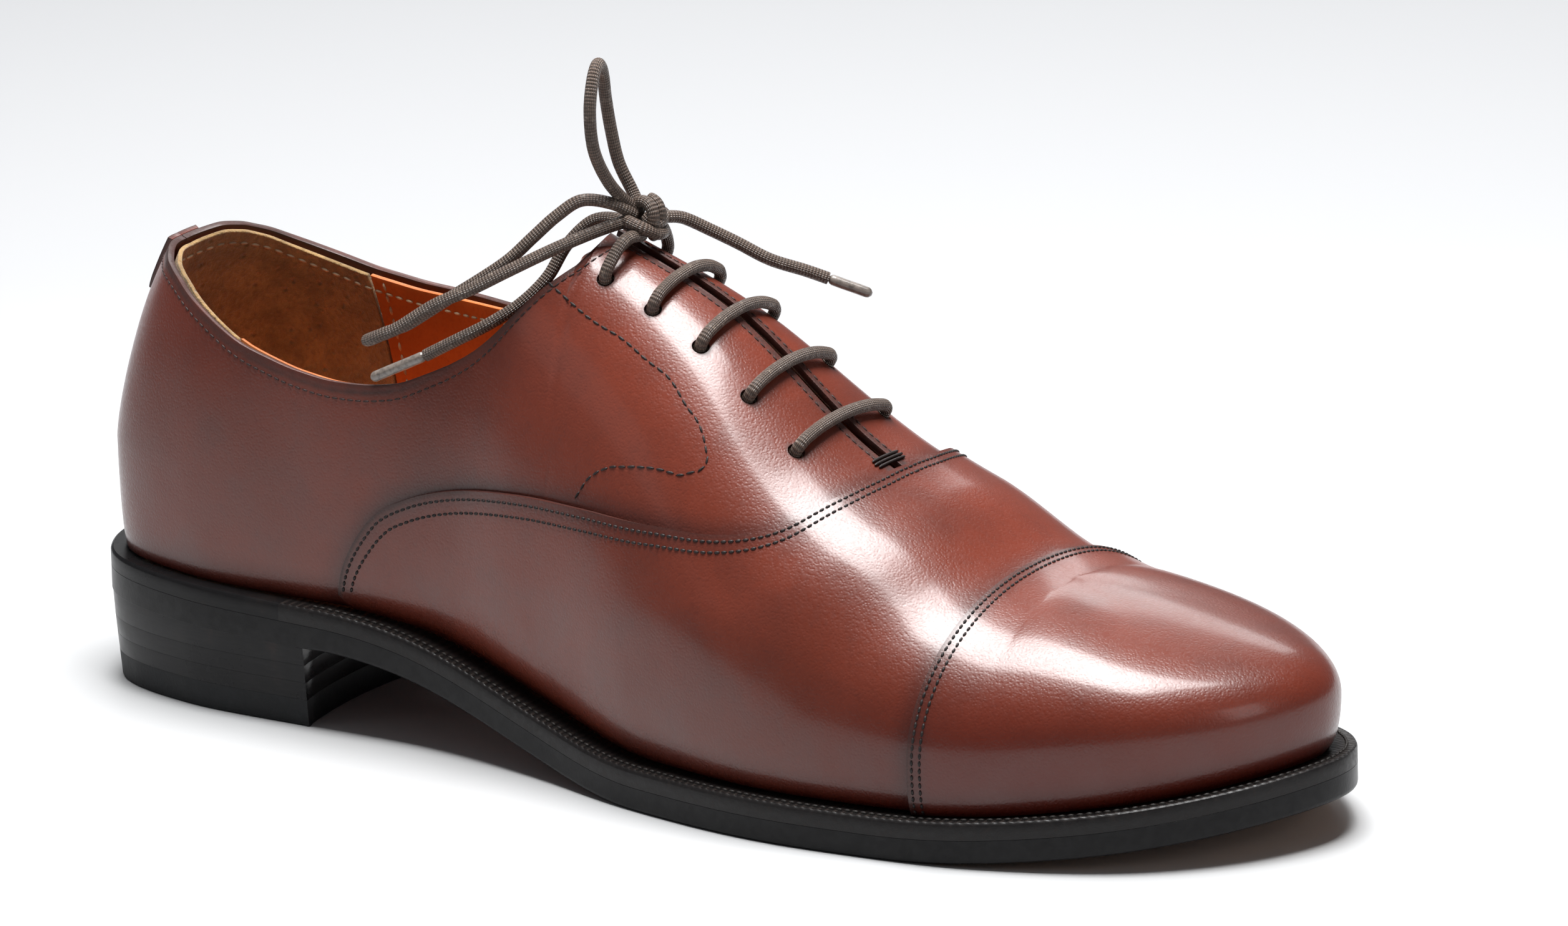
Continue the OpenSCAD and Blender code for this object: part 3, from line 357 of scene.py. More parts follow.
def placed(points):
    return (np.asarray(points, float) + SHIFT) * MM


def linked(name, data):
    piece = bpy.data.objects.new(name, data)
    bpy.context.scene.collection.objects.link(piece)
    return piece


def mesh_of(work, name):
    """The mesh that a bmesh holds, which is freed."""
    mesh = bpy.data.meshes.new(name)
    work.to_mesh(mesh)
    work.free()
    return mesh


def mesh_object(name, points, faces, smooth=40, marks=None):
    """A mesh piece at the origin, with its place in its points. marks are numbers kept on its points."""
    mesh = bpy.data.meshes.new(name)
    mesh.from_pydata(np.asarray(points).tolist(), [], [tuple(map(int, f)) for f in faces])
    for mark, values in (marks or {}).items():
        kept = mesh.attributes.new(mark, "FLOAT", "POINT")
        kept.data.foreach_set("value", np.asarray(values, np.float32).ravel())
    piece = linked(name, mesh)
    work = bmesh.new()
    work.from_mesh(mesh)
    bmesh.ops.remove_doubles(work, verts=work.verts, dist=2e-6)
    bmesh.ops.dissolve_degenerate(work, edges=work.edges, dist=1e-7)
    bmesh.ops.recalc_face_normals(work, faces=work.faces)
    work.to_mesh(mesh)
    work.free()
    mesh.shade_smooth()
    mesh.set_sharp_from_angle(angle=math.radians(smooth))
    return piece


def rounded(piece, width):
    """The piece with its sharp edges rounded by a width in metres."""
    bevel = piece.modifiers.new("Edges", "BEVEL")
    bevel.width, bevel.segments = width, 2
    bevel.limit_method, bevel.angle_limit = "ANGLE", math.radians(50)
    bevel.use_clamp_overlap = True
    bevel.harden_normals = False
    applied(piece)
    return piece


def applied(piece):
    """Replaces the piece's mesh with what its modifiers make."""
    graph = bpy.context.evaluated_depsgraph_get()
    made = bpy.data.meshes.new_from_object(piece.evaluated_get(graph), depsgraph=graph)
    piece.modifiers.clear()
    old = piece.data
    piece.data = made
    made.name = piece.name
    bpy.data.meshes.remove(old)


def net(columns, rows, round_columns, round_rows):
    """Faces between the points of a grid, which may close on itself either way."""
    j, i = np.meshgrid(np.arange(columns - (not round_columns)), np.arange(rows - (not round_rows)),
                       indexing="ij")
    a, b, after = j * rows, (j + 1) % columns * rows, (i + 1) % rows
    return np.stack([a + i, b + i, b + after, a + after], -1).reshape(-1, 4).tolist()


def quads(columns, rows, start, flip=False):
    j, i = np.meshgrid(np.arange(columns - 1), np.arange(rows - 1), indexing="ij")
    a = start + j * rows + i
    face = np.stack([a, a + rows, a + rows + 1, a + 1], -1).reshape(-1, 4)
    return face[:, ::-1] if flip else face


def shell_parts(out, inn, start, open_top_from=None, close_last=True):
    """Points and faces of a sheet with a wall round it. Its top is left open from a column on."""
    columns, rows = out.shape[:2]
    size = columns * rows
    faces = [quads(columns, rows, start), quads(columns, rows, start + size, True)]
    low = start + np.arange(columns) * rows
    top = low + rows - 1
    until = columns if open_top_from is None else open_top_from + 1

    def wall(edge):
        return np.stack([edge[:-1], edge[1:], edge[1:] + size, edge[:-1] + size], -1)
    faces.append(wall(low))
    if until > 1:
        faces.append(wall(top[:until]))
    faces.append(wall(start + np.arange(rows)))
    if close_last:
        faces.append(wall(start + (columns - 1) * rows + np.arange(rows)))
    return np.concatenate([out.reshape(-1, 3), inn.reshape(-1, 3)]), np.concatenate(faces)


def sheet_piece(name, u, e, out, inn, marks):
    points, faces = shell_parts(skin(u, e, out), skin(u, e, inn), 0)
    return mesh_object(name, placed(points), faces, marks=marks(points))


def saddle_piece(name, u, e, out, inn, weld_from, closed_toe, marks):
    """A piece over both sides, joined along the ridge from column weld_from on."""
    points, faces, start = [], [], 0
    for side in (OUTER, INNER):
        v = on_side(side, u)
        p, f = shell_parts(skin(v, e, out), skin(v, e, inn), start, weld_from, not closed_toe)
        points.append(p)
        faces.append(f)
        start += len(p)
    points = np.concatenate(points)
    return mesh_object(name, placed(points), np.concatenate(faces), marks=marks(points))


def nearness(points, line, reach):
    """1 on a line, falling to 0 at a reach in mm."""
    best = np.full(len(points), 1e9)
    for k in range(0, len(line), 40):
        gap = np.linalg.norm(points[:, None, :] - line[None, k:k + 40], axis=-1)
        best = np.minimum(best, gap.min(1))
    return 1 - ease(best / reach)


def trace(u, e, offset):
    """Points along a pattern line, on both sides."""
    return [skin(on_side(side, u), e, offset + 0 * u) for side in (OUTER, INNER)]


T_FINE = np.linspace(0.3, SEAM_END, 200)
SEAM_FINE = line_at(VAMP_SEAM, T_FINE)
TOP_U = np.concatenate([np.linspace(0.01, FACING_TOP_U, 160), np.linspace(5.02, 7.3, 70)])


def edge_marks(points, rim_lines, seam_lines):
    """How near a cut edge is, how near a seam is (a darker band that is partly the panel's own and partly
    painted shadow), where the polish is darkest, and how low on the upper a painted shade lies along the
    welt.
    """
    rim = nearness(points, np.concatenate(rim_lines), 1.6) if rim_lines else 0 * points[:, 0]
    # Near a seam the colour darkens. Part of this is a dark band along the panel's own edge, and part is a
    # painted shadow cast by the raised edge of the vamp or cap.
    seam = nearness(points, np.concatenate(seam_lines), 6) if seam_lines else 0 * points[:, 0]
    toe = ease((points[:, 0] - 190) / 60) * (1 - ease((points[:, 2] - 14) / 30))
    heel = (1 - ease((points[:, 0] - 4) / 50)) * (0.35 + 0.65 * (1 - ease((points[:, 2] - 30) / 45)))
    # Painted shade: the lowest 9 mm of the upper, where it curves under over the welt, are darkened.
    foot = 1 - ease((points[:, 2] - sole_z(points[:, 0]) - EDGE_T) / 9)
    return {"rim": rim, "seam": seam, "polish": np.clip(toe + 0.7 * heel, 0, 1), "foot": foot}


# ---------- Materials, with sizes in metres, but pitches along a mark in mm ----------

WHEEL_PITCH = 1.9
BRAID_PITCH, BRAID_TURNS = 1.35, 5


class Value:
    """A socket of a material; arithmetic on it adds Math nodes."""

    def __init__(self, board, socket):
        self.board, self.socket = board, socket

    def _sum(self, operation, first, second):
        return self.board.node("ShaderNodeMath", {0: first, 1: second}, operation=operation)

    def __add__(self, other):
        return self._sum("ADD", self, other)

    def __sub__(self, other):
        return self._sum("SUBTRACT", self, other)

    def __mul__(self, other):
        return self._sum("MULTIPLY", self, other)


class Finish:
    """A material with its Principled shader, and the one way that its other nodes are made."""

    def __init__(self, name, **constants):
        self.material = bpy.data.materials.new(name)
        self.material.use_nodes = True
        self.tree = self.material.node_tree
        self.shader = self.tree.nodes["Principled BSDF"]
        for socket, value in constants.items():
            self.shader.inputs[socket.replace("_", " ")].default_value = value

    def node(self, kind, inputs=None, output=0, **settings):
        node = self.tree.nodes.new(kind)
        for key, value in settings.items():
            setattr(node, key, value)
        for key, value in (inputs or {}).items():
            if isinstance(value, Value):
                self.tree.links.new(value.socket, node.inputs[key])
            else:
                node.inputs[key].default_value = value
        return Value(self, node.outputs[output])

    def place(self, stretch=(1, 1, 1)):
        where = self.node("ShaderNodeTexCoord", output="Object")
        if stretch == (1, 1, 1):
            return where
        return self.node("ShaderNodeMapping", {"Vector": where, "Scale": stretch})

    def mark(self, name):
        return self.node("ShaderNodeAttribute", output="Fac", attribute_name=name)

    def noise(self, size, detail=3.0, roughness=0.5, vector=None):
        return self.node("ShaderNodeTexNoise", {"Vector": vector or self.place(), "Scale": 1 / size,
                                                "Detail": detail, "Roughness": roughness})

    def cells(self, size, feature="F1"):
        return self.node("ShaderNodeTexVoronoi", {"Vector": self.place(), "Scale": 1 / size},
                         output="Distance", feature=feature)

    def spread(self, value, low, high, to_low=0.0, to_high=1.0):
        inputs = {"Value": value, "From Min": low, "From Max": high, "To Min": to_low, "To Max": to_high}
        return self.node("ShaderNodeMapRange", inputs, interpolation_type="SMOOTHSTEP")

    def vary(self, noise, low, high):
        """A value that follows a noise between two ends."""
        return self.spread(noise, 0.3, 0.7, low, high)

    def blend(self, factor, first, second):
        """A mix of two colours, whose sockets the Mix node numbers 6 and 7."""
        return self.node("ShaderNodeMix", {0: factor, 6: first, 7: second}, output=2, data_type="RGBA")

    def wave(self, run):
        return self.node("ShaderNodeMath", {0: run}, operation="SINE")

    def feed(self, **links):
        for socket, value in links.items():
            self.tree.links.new(value.socket, self.shader.inputs[socket.replace("_", " ")])
        return self.material

    def relief(self, height, depth, under=None):
        inputs = {"Height": height, "Distance": depth, "Strength": 1.0}
        if under:
            inputs["Normal"] = under
        return self.node("ShaderNodeBump", inputs)


def rgb(colour, gain=1.0):
    return (colour[0] * gain, colour[1] * gain, colour[2] * gain, 1.0)


def burnished_leather(name, colour, dark, deep):
    """Polished calf: mottled colour, darker low on toe and heel and at seams, where a shadow is partly
    painted, with painted shade low along the welt and a fine pressed grain.
    """
    f = Finish(name, Specular_IOR_Level=0.36, IOR=1.5, Coat_Roughness=0.15)
    cloud = f.noise(0.06, 3, 0.5)
    mottle = f.noise(0.012, 4, 0.55)
    fleck = f.noise(0.0011, 3, 0.6)
    base = f.blend(f.spread(cloud, 0.35, 0.7), rgb(colour, 1.08), rgb(colour, 0.78))
    base = f.blend(f.spread(mottle, 0.4, 0.75, 0.0, 0.22), base, rgb(dark))
    base = f.blend(f.spread(fleck, 0.5, 0.75, 0.0, 0.15), base, rgb(dark))
    base = f.blend(f.mark("polish") * 0.9, base, rgb(deep))
    # By the seams: partly the leather's own dark edge band, partly a painted shadow beside a raised edge.
    base = f.blend(f.mark("seam") * 0.55, base, rgb(dark))
    # Painted shade low along the welt, where the upper curves under.
    base = f.blend(f.mark("foot") * 0.6, base, rgb(deep, 0.35))
    base = f.blend(f.mark("rim") * 0.9, base, rgb((0.03, 0.017, 0.015)))
    pores = f.cells(0.00055, feature="SMOOTH_F1")
    folds = f.noise(0.0009, 4, 0.6)
    swell = f.noise(0.02, 2, 0.5)
    grain = f.relief(f.spread(pores, 0.0, 0.6) * 0.6 + folds * 0.5, 0.000055)
    normal = f.relief(swell, 0.00018, grain)
    rough = f.vary(folds, 0.3, 0.4) + f.mark("rim") * 0.2
    return f.feed(Base_Color=base, Roughness=rough, Normal=normal,
                  Coat_Weight=f.vary(mottle, 0.36, 0.5) - f.mark("rim") * 0.3)


def inked_edge(name, colour, rough=0.32):
    """Sole leather with a waxed black edge: faint fibres along the layers and small polishing marks."""
    f = Finish(name, Specular_IOR_Level=0.14, Coat_Roughness=0.15)
    fibre = f.noise(0.0016, 4, 0.6, f.place((0.3, 0.3, 2.4)))
    scuff = f.noise(0.012, 4, 0.6)
    base = f.blend(f.spread(fibre, 0.35, 0.7, 0.0, 0.6), rgb(colour), rgb(colour, 1.5))
    base = f.blend(f.spread(scuff, 0.55, 0.8, 0.0, 0.3), base, rgb((0.05, 0.03, 0.022)))
    return f.feed(Base_Color=base, Roughness=f.vary(scuff, rough - 0.08, rough + 0.1),
                  Normal=f.relief(fibre, 0.00002), Coat_Weight=f.vary(scuff, 0.02, 0.1))


def welt_finish(name):
    """The welt's upper side, with wheel marks across it between the stitches."""
    f = Finish(name, Specular_IOR_Level=0.25, Coat_Roughness=0.25)
    run = f.mark("run")
    wheel = f.wave(run * (2 * math.pi / WHEEL_PITCH))
    strip = f.mark("strip")
    fibre = f.noise(0.0014, 3, 0.6)
    base = f.blend(f.spread(wheel, -0.6, 0.9, 0.0, 0.55) * strip,
                   rgb((0.012, 0.0105, 0.0105)), rgb((0.05, 0.04, 0.035)))
    base = f.blend(f.spread(fibre, 0.5, 0.8, 0.0, 0.4), base, rgb((0.03, 0.02, 0.017)))
    return f.feed(Base_Color=base, Roughness=f.vary(fibre, 0.3, 0.46),
                  Normal=f.relief(wheel * strip + fibre * 0.3, 0.00022))


def sole_underside(name):
    """The outsole: an inked edge that gives way to a stained waist and a paler tread underneath."""
    f = Finish(name, Specular_IOR_Level=0.14, Coat_Roughness=0.2)
    under, waist = f.mark("under"), f.mark("waist")
    fibre = f.noise(0.002, 4, 0.6)
    cloud = f.noise(0.03, 3, 0.5)
    tread = f.blend(f.spread(cloud, 0.35, 0.7), rgb((0.27, 0.125, 0.052)), rgb((0.2, 0.085, 0.034)))
    stained = f.blend(f.spread(cloud, 0.35, 0.7), rgb((0.13, 0.026, 0.012)), rgb((0.07, 0.014, 0.008)))
    base = f.blend(waist, tread, stained)
    base = f.blend(f.spread(fibre, 0.4, 0.75, 0.0, 0.3), base, rgb((0.05, 0.02, 0.01)))
    base = f.blend(under, rgb((0.0085, 0.008, 0.0085)), base)
    return f.feed(Base_Color=base, Roughness=f.vary(cloud, 0.28, 0.38),
                  Normal=f.relief(fibre, 0.00006), Coat_Weight=f.vary(fibre, 0.02, 0.1))


def rubber(name, colour):
    f = Finish(name, Specular_IOR_Level=0.18)
    fine, scuff = f.noise(0.0008, 3, 0.6), f.noise(0.008, 4, 0.6)
    base = f.blend(f.spread(scuff, 0.4, 0.75), rgb(colour), rgb(colour, 1.7))
    return f.feed(Base_Color=base, Roughness=f.vary(scuff, 0.48, 0.62),
                  Normal=f.relief(fine, 0.00006))


def smooth_lining(name, colour):
    f = Finish(name, Specular_IOR_Level=0.4, Coat_Roughness=0.4)
    cloud, fine = f.noise(0.02, 3, 0.55), f.noise(0.0009, 4, 0.6)
    base = f.blend(f.spread(cloud, 0.3, 0.7), rgb(colour), rgb(colour, 0.72))
    base = f.blend(f.spread(fine, 0.45, 0.8, 0.0, 0.3), base, rgb(colour, 0.45))
    base = f.blend(f.mark("rim") * 0.5, base, rgb((0.3, 0.17, 0.08)))
    return f.feed(Base_Color=base, Roughness=f.vary(fine, 0.42, 0.55),
                  Normal=f.relief(fine, 0.00008))


def suede(name, colour):
    """Napped split leather: mottled where the nap lies differently, with pits and lint."""
    f = Finish(name, Specular_IOR_Level=0.15, Sheen_Weight=0.35, Sheen_Roughness=0.5)
    brushed, nap = f.noise(0.011, 4, 0.65), f.noise(0.0013, 5, 0.7)
    pits = f.cells(0.0036)
    base = f.blend(f.spread(brushed, 0.35, 0.68), rgb(colour), rgb(colour, 0.6))
    base = f.blend(f.spread(nap, 0.4, 0.72, 0.0, 0.6), base, rgb(colour, 0.42))
    base = f.blend(f.spread(pits, 0.05, 0.2, 0.35, 0.0), base, rgb(colour, 0.3))
    return f.feed(Base_Color=base, Roughness=f.vary(nap, 0.85, 0.97),
                  Normal=f.relief(nap * 0.8 + brushed * 0.5 + f.spread(pits, 0.0, 0.25) * 0.5, 0.0013))


def waxed_braid(name, colour):
    """Round lace: two sets of slanting strands that cross, painted light on their crowns and dark between
    them, with wax left between them.
    """
    f = Finish(name, Specular_IOR_Level=0.5, Coat_Roughness=0.3)
    along, turn = f.mark("along"), f.mark("turn")
    left = f.wave((along * (1 / BRAID_PITCH) + turn * BRAID_TURNS) * (2 * math.pi))
    right = f.wave((along * (1 / BRAID_PITCH) - turn * BRAID_TURNS) * (2 * math.pi))
    weave = left * right
    wax = f.noise(0.0011, 4, 0.65)
    tone = f.noise(0.008, 3, 0.5)
    # Painted shade and highlight: dark in the gaps where the strands cross, light on their crowns.
    base = f.blend(f.spread(weave, -0.5, 0.7), rgb(colour, 0.42), rgb(colour, 1.45))
    base = f.blend(f.spread(tone, 0.35, 0.7, 0.0, 0.45), base, rgb(colour, 0.5))
    base = f.blend(f.spread(wax, 0.57, 0.72, 0.0, 0.6), base, rgb((0.4, 0.31, 0.24)))
    return f.feed(Base_Color=base, Roughness=f.spread(wax, 0.35, 0.7, 0.48, 0.3),
                  Normal=f.relief(weave * 0.8 + wax * 0.6, 0.0002),
                  Coat_Weight=f.spread(wax, 0.4, 0.75, 0.02, 0.4))


def thread(name, colour):
    f = Finish(name, Specular_IOR_Level=0.4)
    twist, wear = f.noise(0.0005, 2, 0.5), f.noise(0.006, 3, 0.5)
    base = f.blend(f.spread(wear, 0.3, 0.7), rgb(colour), rgb(colour, 0.6))
    return f.feed(Base_Color=base, Roughness=f.vary(wear, 0.5, 0.65),
                  Normal=f.relief(twist, 0.00006))


def aglet_film(name, colour):
    f = Finish(name, Specular_IOR_Level=0.5, Coat_Roughness=0.12)
    strands, cloud = f.noise(0.0011, 3, 0.6), f.noise(0.005, 3, 0.5)
    base = f.blend(f.spread(strands, 0.4, 0.7), rgb(colour), rgb(colour, 0.5))
    return f.feed(Base_Color=base, Roughness=f.vary(cloud, 0.25, 0.38),
                  Normal=f.relief(strands, 0.00005), Coat_Weight=f.vary(cloud, 0.5, 0.8))


def plain_stuff(name, colour, other, size, rough, metal=0.0, depth=0.0001):
    """Inner pieces and nails: two tones of one stuff, mixed at its own grain."""
    f = Finish(name, Metallic=metal)
    speck, cloud = f.noise(size, 4, 0.6), f.noise(size * 8, 3, 0.5)
    base = f.blend(f.spread(speck, 0.35, 0.7), rgb(colour), rgb(other))
    base = f.blend(f.spread(cloud, 0.35, 0.7, 0.0, 0.3), base, rgb(colour, 0.6))
    return f.feed(Base_Color=base, Roughness=f.vary(cloud, rough - 0.06, rough + 0.08),
                  Normal=f.relief(speck, depth))


FINISHES = {}


def finish_for(key):
    """Each finish is made once, from the colours in the panel."""
    looks = bpy.context.scene.shoe_looks
    makers = {
        "upper": lambda: burnished_leather("Burnished_calf", looks.upper, looks.upper_dark, looks.upper_deep),
        "edge": lambda: inked_edge("Inked_sole_edge", looks.edge),
        "welt": lambda: welt_finish("Wheeled_welt"),
        "outsole": lambda: sole_underside("Outsole_leather"),
        "rubber": lambda: rubber("Top_piece_rubber", (0.013, 0.0135, 0.0145)),
        "lining": lambda: smooth_lining("Smooth_lining", looks.lining),
        "suede": lambda: suede("Suede_lining", looks.suede),
        "lace": lambda: waxed_braid("Waxed_braid", looks.lace),
        "dark_thread": lambda: thread("Dark_thread", (0.018, 0.011, 0.01)),
        "rim_thread": lambda: thread("Rim_thread", (0.035, 0.014, 0.011)),
        "welt_thread": lambda: thread("Welt_thread", (0.03, 0.025, 0.022)),
        "pale_thread": lambda: thread("Pale_thread", (0.6, 0.42, 0.26)),
        "aglet": lambda: aglet_film("Aglet_film", (0.22, 0.185, 0.16)),
        "brass": lambda: plain_stuff("Nail_brass", (0.55, 0.38, 0.15), (0.3, 0.2, 0.09), 0.0006, 0.35,
                                     1.0, 0.00003),
        "steel": lambda: plain_stuff("Shank_steel", (0.5, 0.52, 0.55), (0.4, 0.42, 0.45), 0.001, 0.38,
                                     1.0, 0.00003),
        "cork": lambda: plain_stuff("Cork_filling", (0.33, 0.2, 0.11), (0.12, 0.065, 0.035), 0.0018, 0.85),
        "insole": lambda: plain_stuff("Insole_leather", (0.45, 0.28, 0.15), (0.34, 0.2, 0.1), 0.0012, 0.6),
        "board": lambda: plain_stuff("Stiffener_board", (0.5, 0.42, 0.3), (0.4, 0.32, 0.22), 0.001, 0.75),
        "tape": lambda: plain_stuff("Stay_tape", (0.62, 0.55, 0.44), (0.5, 0.43, 0.33), 0.0008, 0.8),
    }
    if key not in FINISHES:
        FINISHES[key] = makers[key]()
    return FINISHES[key]


def dress(piece, key, body="shoe", nodes=()):
    """Gives a piece its finish and its body, and hides the nodes it stands for."""
    piece.data.materials.clear()
    piece.data.materials.append(finish_for(key))
    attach(piece, body)
    if nodes:
        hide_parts(*nodes)
    return piece


# ---------- Round cords ----------

def smooth_route(points, step=0.5):
    """A smooth line through points, even in its steps of mm."""
    fine = line_at(points, np.linspace(0, len(points) - 1, (len(points) - 1) * 24 + 1))
    run = np.concatenate([[0], np.cumsum(np.linalg.norm(np.diff(fine, axis=0), axis=1))])
    even = np.linspace(0, run[-1], max(4, int(run[-1] / step)) + 1)
    return np.stack([np.interp(even, run, fine[:, k]) for k in range(3)], -1), even


def tube_parts(route, run, radius, start=0, sides=18):
    """Rings of a cord along a line, with how far along it and how far round it each point is."""
    ways = unit(np.gradient(route, axis=0))
    side = unit(np.cross(ways[0], [0.31, 0.21, 0.93]))
    rings, angle = [], np.linspace(0, 2 * np.pi, sides, endpoint=False)
    radius = np.broadcast_to(radius, run.shape)
    for p, way, r in zip(route, ways, radius):
        side = unit(side - way * (side @ way))
        other = np.cross(way, side)
        rings.append(p + r * (np.cos(angle)[:, None] * side + np.sin(angle)[:, None] * other))
    count = len(route)
    j, t = np.meshgrid(np.arange(count - 1), np.arange(sides), indexing="ij")
    after = (t + 1) % sides
    faces = start + np.stack([j * sides + t, j * sides + after, (j + 1) * sides + after,
                              (j + 1) * sides + t], -1)
    caps = [tuple(first + k for k in range(sides)) for first in (start, start + (count - 1) * sides)]
    along = np.repeat(run, sides)
    turn = np.abs(2 * np.tile(angle / (2 * np.pi), count) - 1)
    return np.concatenate(rings), [tuple(f) for f in faces.reshape(-1, 4)] + caps, along, turn


def cord_piece(name, routes, radius, shift=False, round_ends=False, sides=18):
    """One piece of round cords, and the line of each in metres. Routes are in mm, in the last's own
    frame if they need the shift."""
    points, faces, along, turn, paths = [], [], [], [], []
    shift = SHIFT if shift else 0
    for route in routes:
        line, run = smooth_route(route)
        r = np.full(len(run), radius)
        if round_ends:
            from_end = np.minimum(run, run[-1] - run) / radius
            r = radius * np.minimum(1, np.sqrt(np.maximum(0.12, 1 - (1 - from_end).clip(0) ** 2)))
        p, f, a, t = tube_parts(line, run, r, sum(map(len, points)), sides)
        points.append(p)
        faces += f
        along.append(a)
        turn.append(t)
        paths.append(line)
    marks = {"along": np.concatenate(along), "turn": np.concatenate(turn)}
    piece = mesh_object(name, (np.concatenate(points) + shift) * MM, faces, 60, marks)
    return piece, [(p + shift) * MM for p in paths]


# ---------- Stitches ----------

STITCH_SEED = 7
SUNK = 0.02
SEAM_ROWS = (1.1, 2.8)
RIM_ROW, LINING_ROW = 2.2, 2.6


def stitch_tree():
    """A tree that sets one stitch at every pitch of a line, along the line."""
    tree = bpy.data.node_groups.new("Stitches", "GeometryNodeTree")
    face = tree.interface
    face.new_socket("Lines", in_out="INPUT", socket_type="NodeSocketGeometry")
    for name, value in (("Pitch", 0.0016), ("Length", 0.0013), ("Thickness", 0.0005), ("Jitter", 0.06)):
        face.new_socket(name, in_out="INPUT", socket_type="NodeSocketFloat").default_value = value
    face.new_socket("Thread", in_out="INPUT", socket_type="NodeSocketMaterial")
    face.new_socket("Stitches", in_out="OUTPUT", socket_type="NodeSocketGeometry")

    def new(kind, inputs, **settings):
        node = tree.nodes.new(kind)
        for key, value in settings.items():
            setattr(node, key, value)
        for key, value in inputs.items():
            if isinstance(value, bpy.types.NodeSocket):
                tree.links.new(value, node.inputs[key])
            else:
                node.inputs[key].default_value = value
        return node.outputs
    given = new("NodeGroupInput", {})
    steps = new("GeometryNodeResampleCurve", {"Curve": given["Lines"], "Length": given["Pitch"]},
                mode="LENGTH")
    tangent = new("GeometryNodeInputTangent", {})
    low = new("ShaderNodeMath", {0: given["Jitter"], 1: -1}, operation="MULTIPLY")
    wobble = new("FunctionNodeRandomValue", {"Seed": STITCH_SEED, "Min": low[0], "Max": given["Jitter"]},
                 data_type="FLOAT_VECTOR")
    way = new("ShaderNodeVectorMath", {0: tangent[0], 1: wobble["Value"]})
    turn = new("FunctionNodeAlignRotationToVector", {"Vector": way[0]}, axis="X")
    ball = new("GeometryNodeMeshUVSphere", {"Segments": 6, "Rings": 5, "Radius": 0.5})
    thick = given["Thickness"]
    size = new("ShaderNodeCombineXYZ", {"X": given["Length"], "Y": thick, "Z": thick})
    put = new("GeometryNodeInstanceOnPoints", {"Points": steps["Curve"], "Instance": ball["Mesh"],
                                               "Rotation": turn[0], "Scale": size[0]})
    real = new("GeometryNodeRealizeInstances", {0: put["Instances"]})
    soft = new("GeometryNodeSetShadeSmooth", {0: real[0]})
    coat = new("GeometryNodeSetMaterial", {"Geometry": soft[0], "Material": given["Thread"]})
    new("NodeGroupOutput", {0: coat[0]})
    return tree


def stitched(name, lines, key, pitch, length, thickness):
    """Rows of stitches along lines of points in metres, as one plain mesh."""
    tree = bpy.data.node_groups.get("Stitches") or stitch_tree()
    curve = bpy.data.curves.new(name + "_lines", "CURVE")
    curve.dimensions = "3D"
    for line in lines:
        spline = curve.splines.new("POLY")
        spline.points.add(len(line) - 1)
        spline.points.foreach_set("co", np.concatenate([line, np.ones((len(line), 1))], 1).ravel())
    rows = linked(name + "_lines", curve)
    maker = rows.modifiers.new("Stitches", "NODES")
    maker.node_group = tree
    values = {"Pitch": pitch, "Length": length, "Thickness": thickness, "Thread": finish_for(key)}
    for item in tree.interface.items_tree:
        if item.in_out == "INPUT" and item.name in values:
            maker[item.identifier] = values[item.name]
    graph = bpy.context.evaluated_depsgraph_get()
    mesh = bpy.data.meshes.new_from_object(rows.evaluated_get(graph), depsgraph=graph)
    mesh.name = name
    bpy.data.objects.remove(rows)
    bpy.data.curves.remove(curve)
    if not len(mesh.polygons):
        raise RuntimeError(name + " has no stitches")
    piece = linked(name, mesh)
    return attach(piece, "shoe")


# ---------- Pieces ----------

HOLE_RIM = 0.7


def seam_lines(distance, from_t, lift):
    """Lines beside the vamp's edge, a distance in mm inside the vamp, on both sides."""
    t = np.linspace(from_t, SEAM_END, 220)
    p = ahead_of_seam(t, distance)
    p[:, 1] = np.minimum(p[:, 1], 1)
    off = vamp_in(p[:, 0], p[:, 1]) + UPPER_T + lift
    return list(map(placed, trace(p[:, 0], p[:, 1], off)))


def cap_edge(distance):
    """(u, e) along the toe cap's edge, a distance in mm inside the cap."""
    w = np.linspace(0, 1, 120)
    return CAP_U - CAP_BEND * (1 - w) + distance / CAP_U_MM, mix(FOOT_E, 1, w)


def holes_in(piece, side):
    """Cuts the lace holes of one side, and darkens their rims."""
    for u, reach in zip(HOLE_U, HOLE_SIDE):
        v, e = on_side(side, u), e_beside_ridge(u, reach)
        p, n = placed(last_point(v, e)), last_normal(v, e)
        work = bmesh.new()
        turn = Vector(n).to_track_quat("Z", "Y").to_matrix().to_4x4()
        bmesh.ops.create_cone(work, cap_ends=True, segments=28, radius1=HOLE_D / 2 * MM,
                              radius2=HOLE_D / 2 * MM, depth=12 * MM,
                              matrix=Matrix.Translation(Vector(p)) @ turn)
        mesh = mesh_of(work, "Punch")
        punch = linked("Punch", mesh)
        cut = piece.modifiers.new("Hole", "BOOLEAN")
        cut.operation, cut.object, cut.solver = "DIFFERENCE", punch, "EXACT"
        applied(piece)
        bpy.data.objects.remove(punch)
        bpy.data.meshes.remove(mesh)
    mark = piece.data.attributes["rim"]
    co = np.zeros(len(piece.data.vertices) * 3)
    piece.data.vertices.foreach_get("co", co)
    rim = np.zeros(len(piece.data.vertices))
    mark.data.foreach_get("value", rim)
    for u, reach in zip(HOLE_U, HOLE_SIDE):
        centre = placed(last_point(on_side(side, u), e_beside_ridge(u, reach)))
        gap = np.linalg.norm(co.reshape(-1, 3) - centre, axis=1) / MM - HOLE_D / 2
        rim = np.maximum(rim, 1 - ease(gap / HOLE_RIM))
    mark.data.foreach_set("value", rim.astype(np.float32))
    piece.data.shade_smooth()
    piece.data.set_sharp_from_angle(angle=math.radians(40))


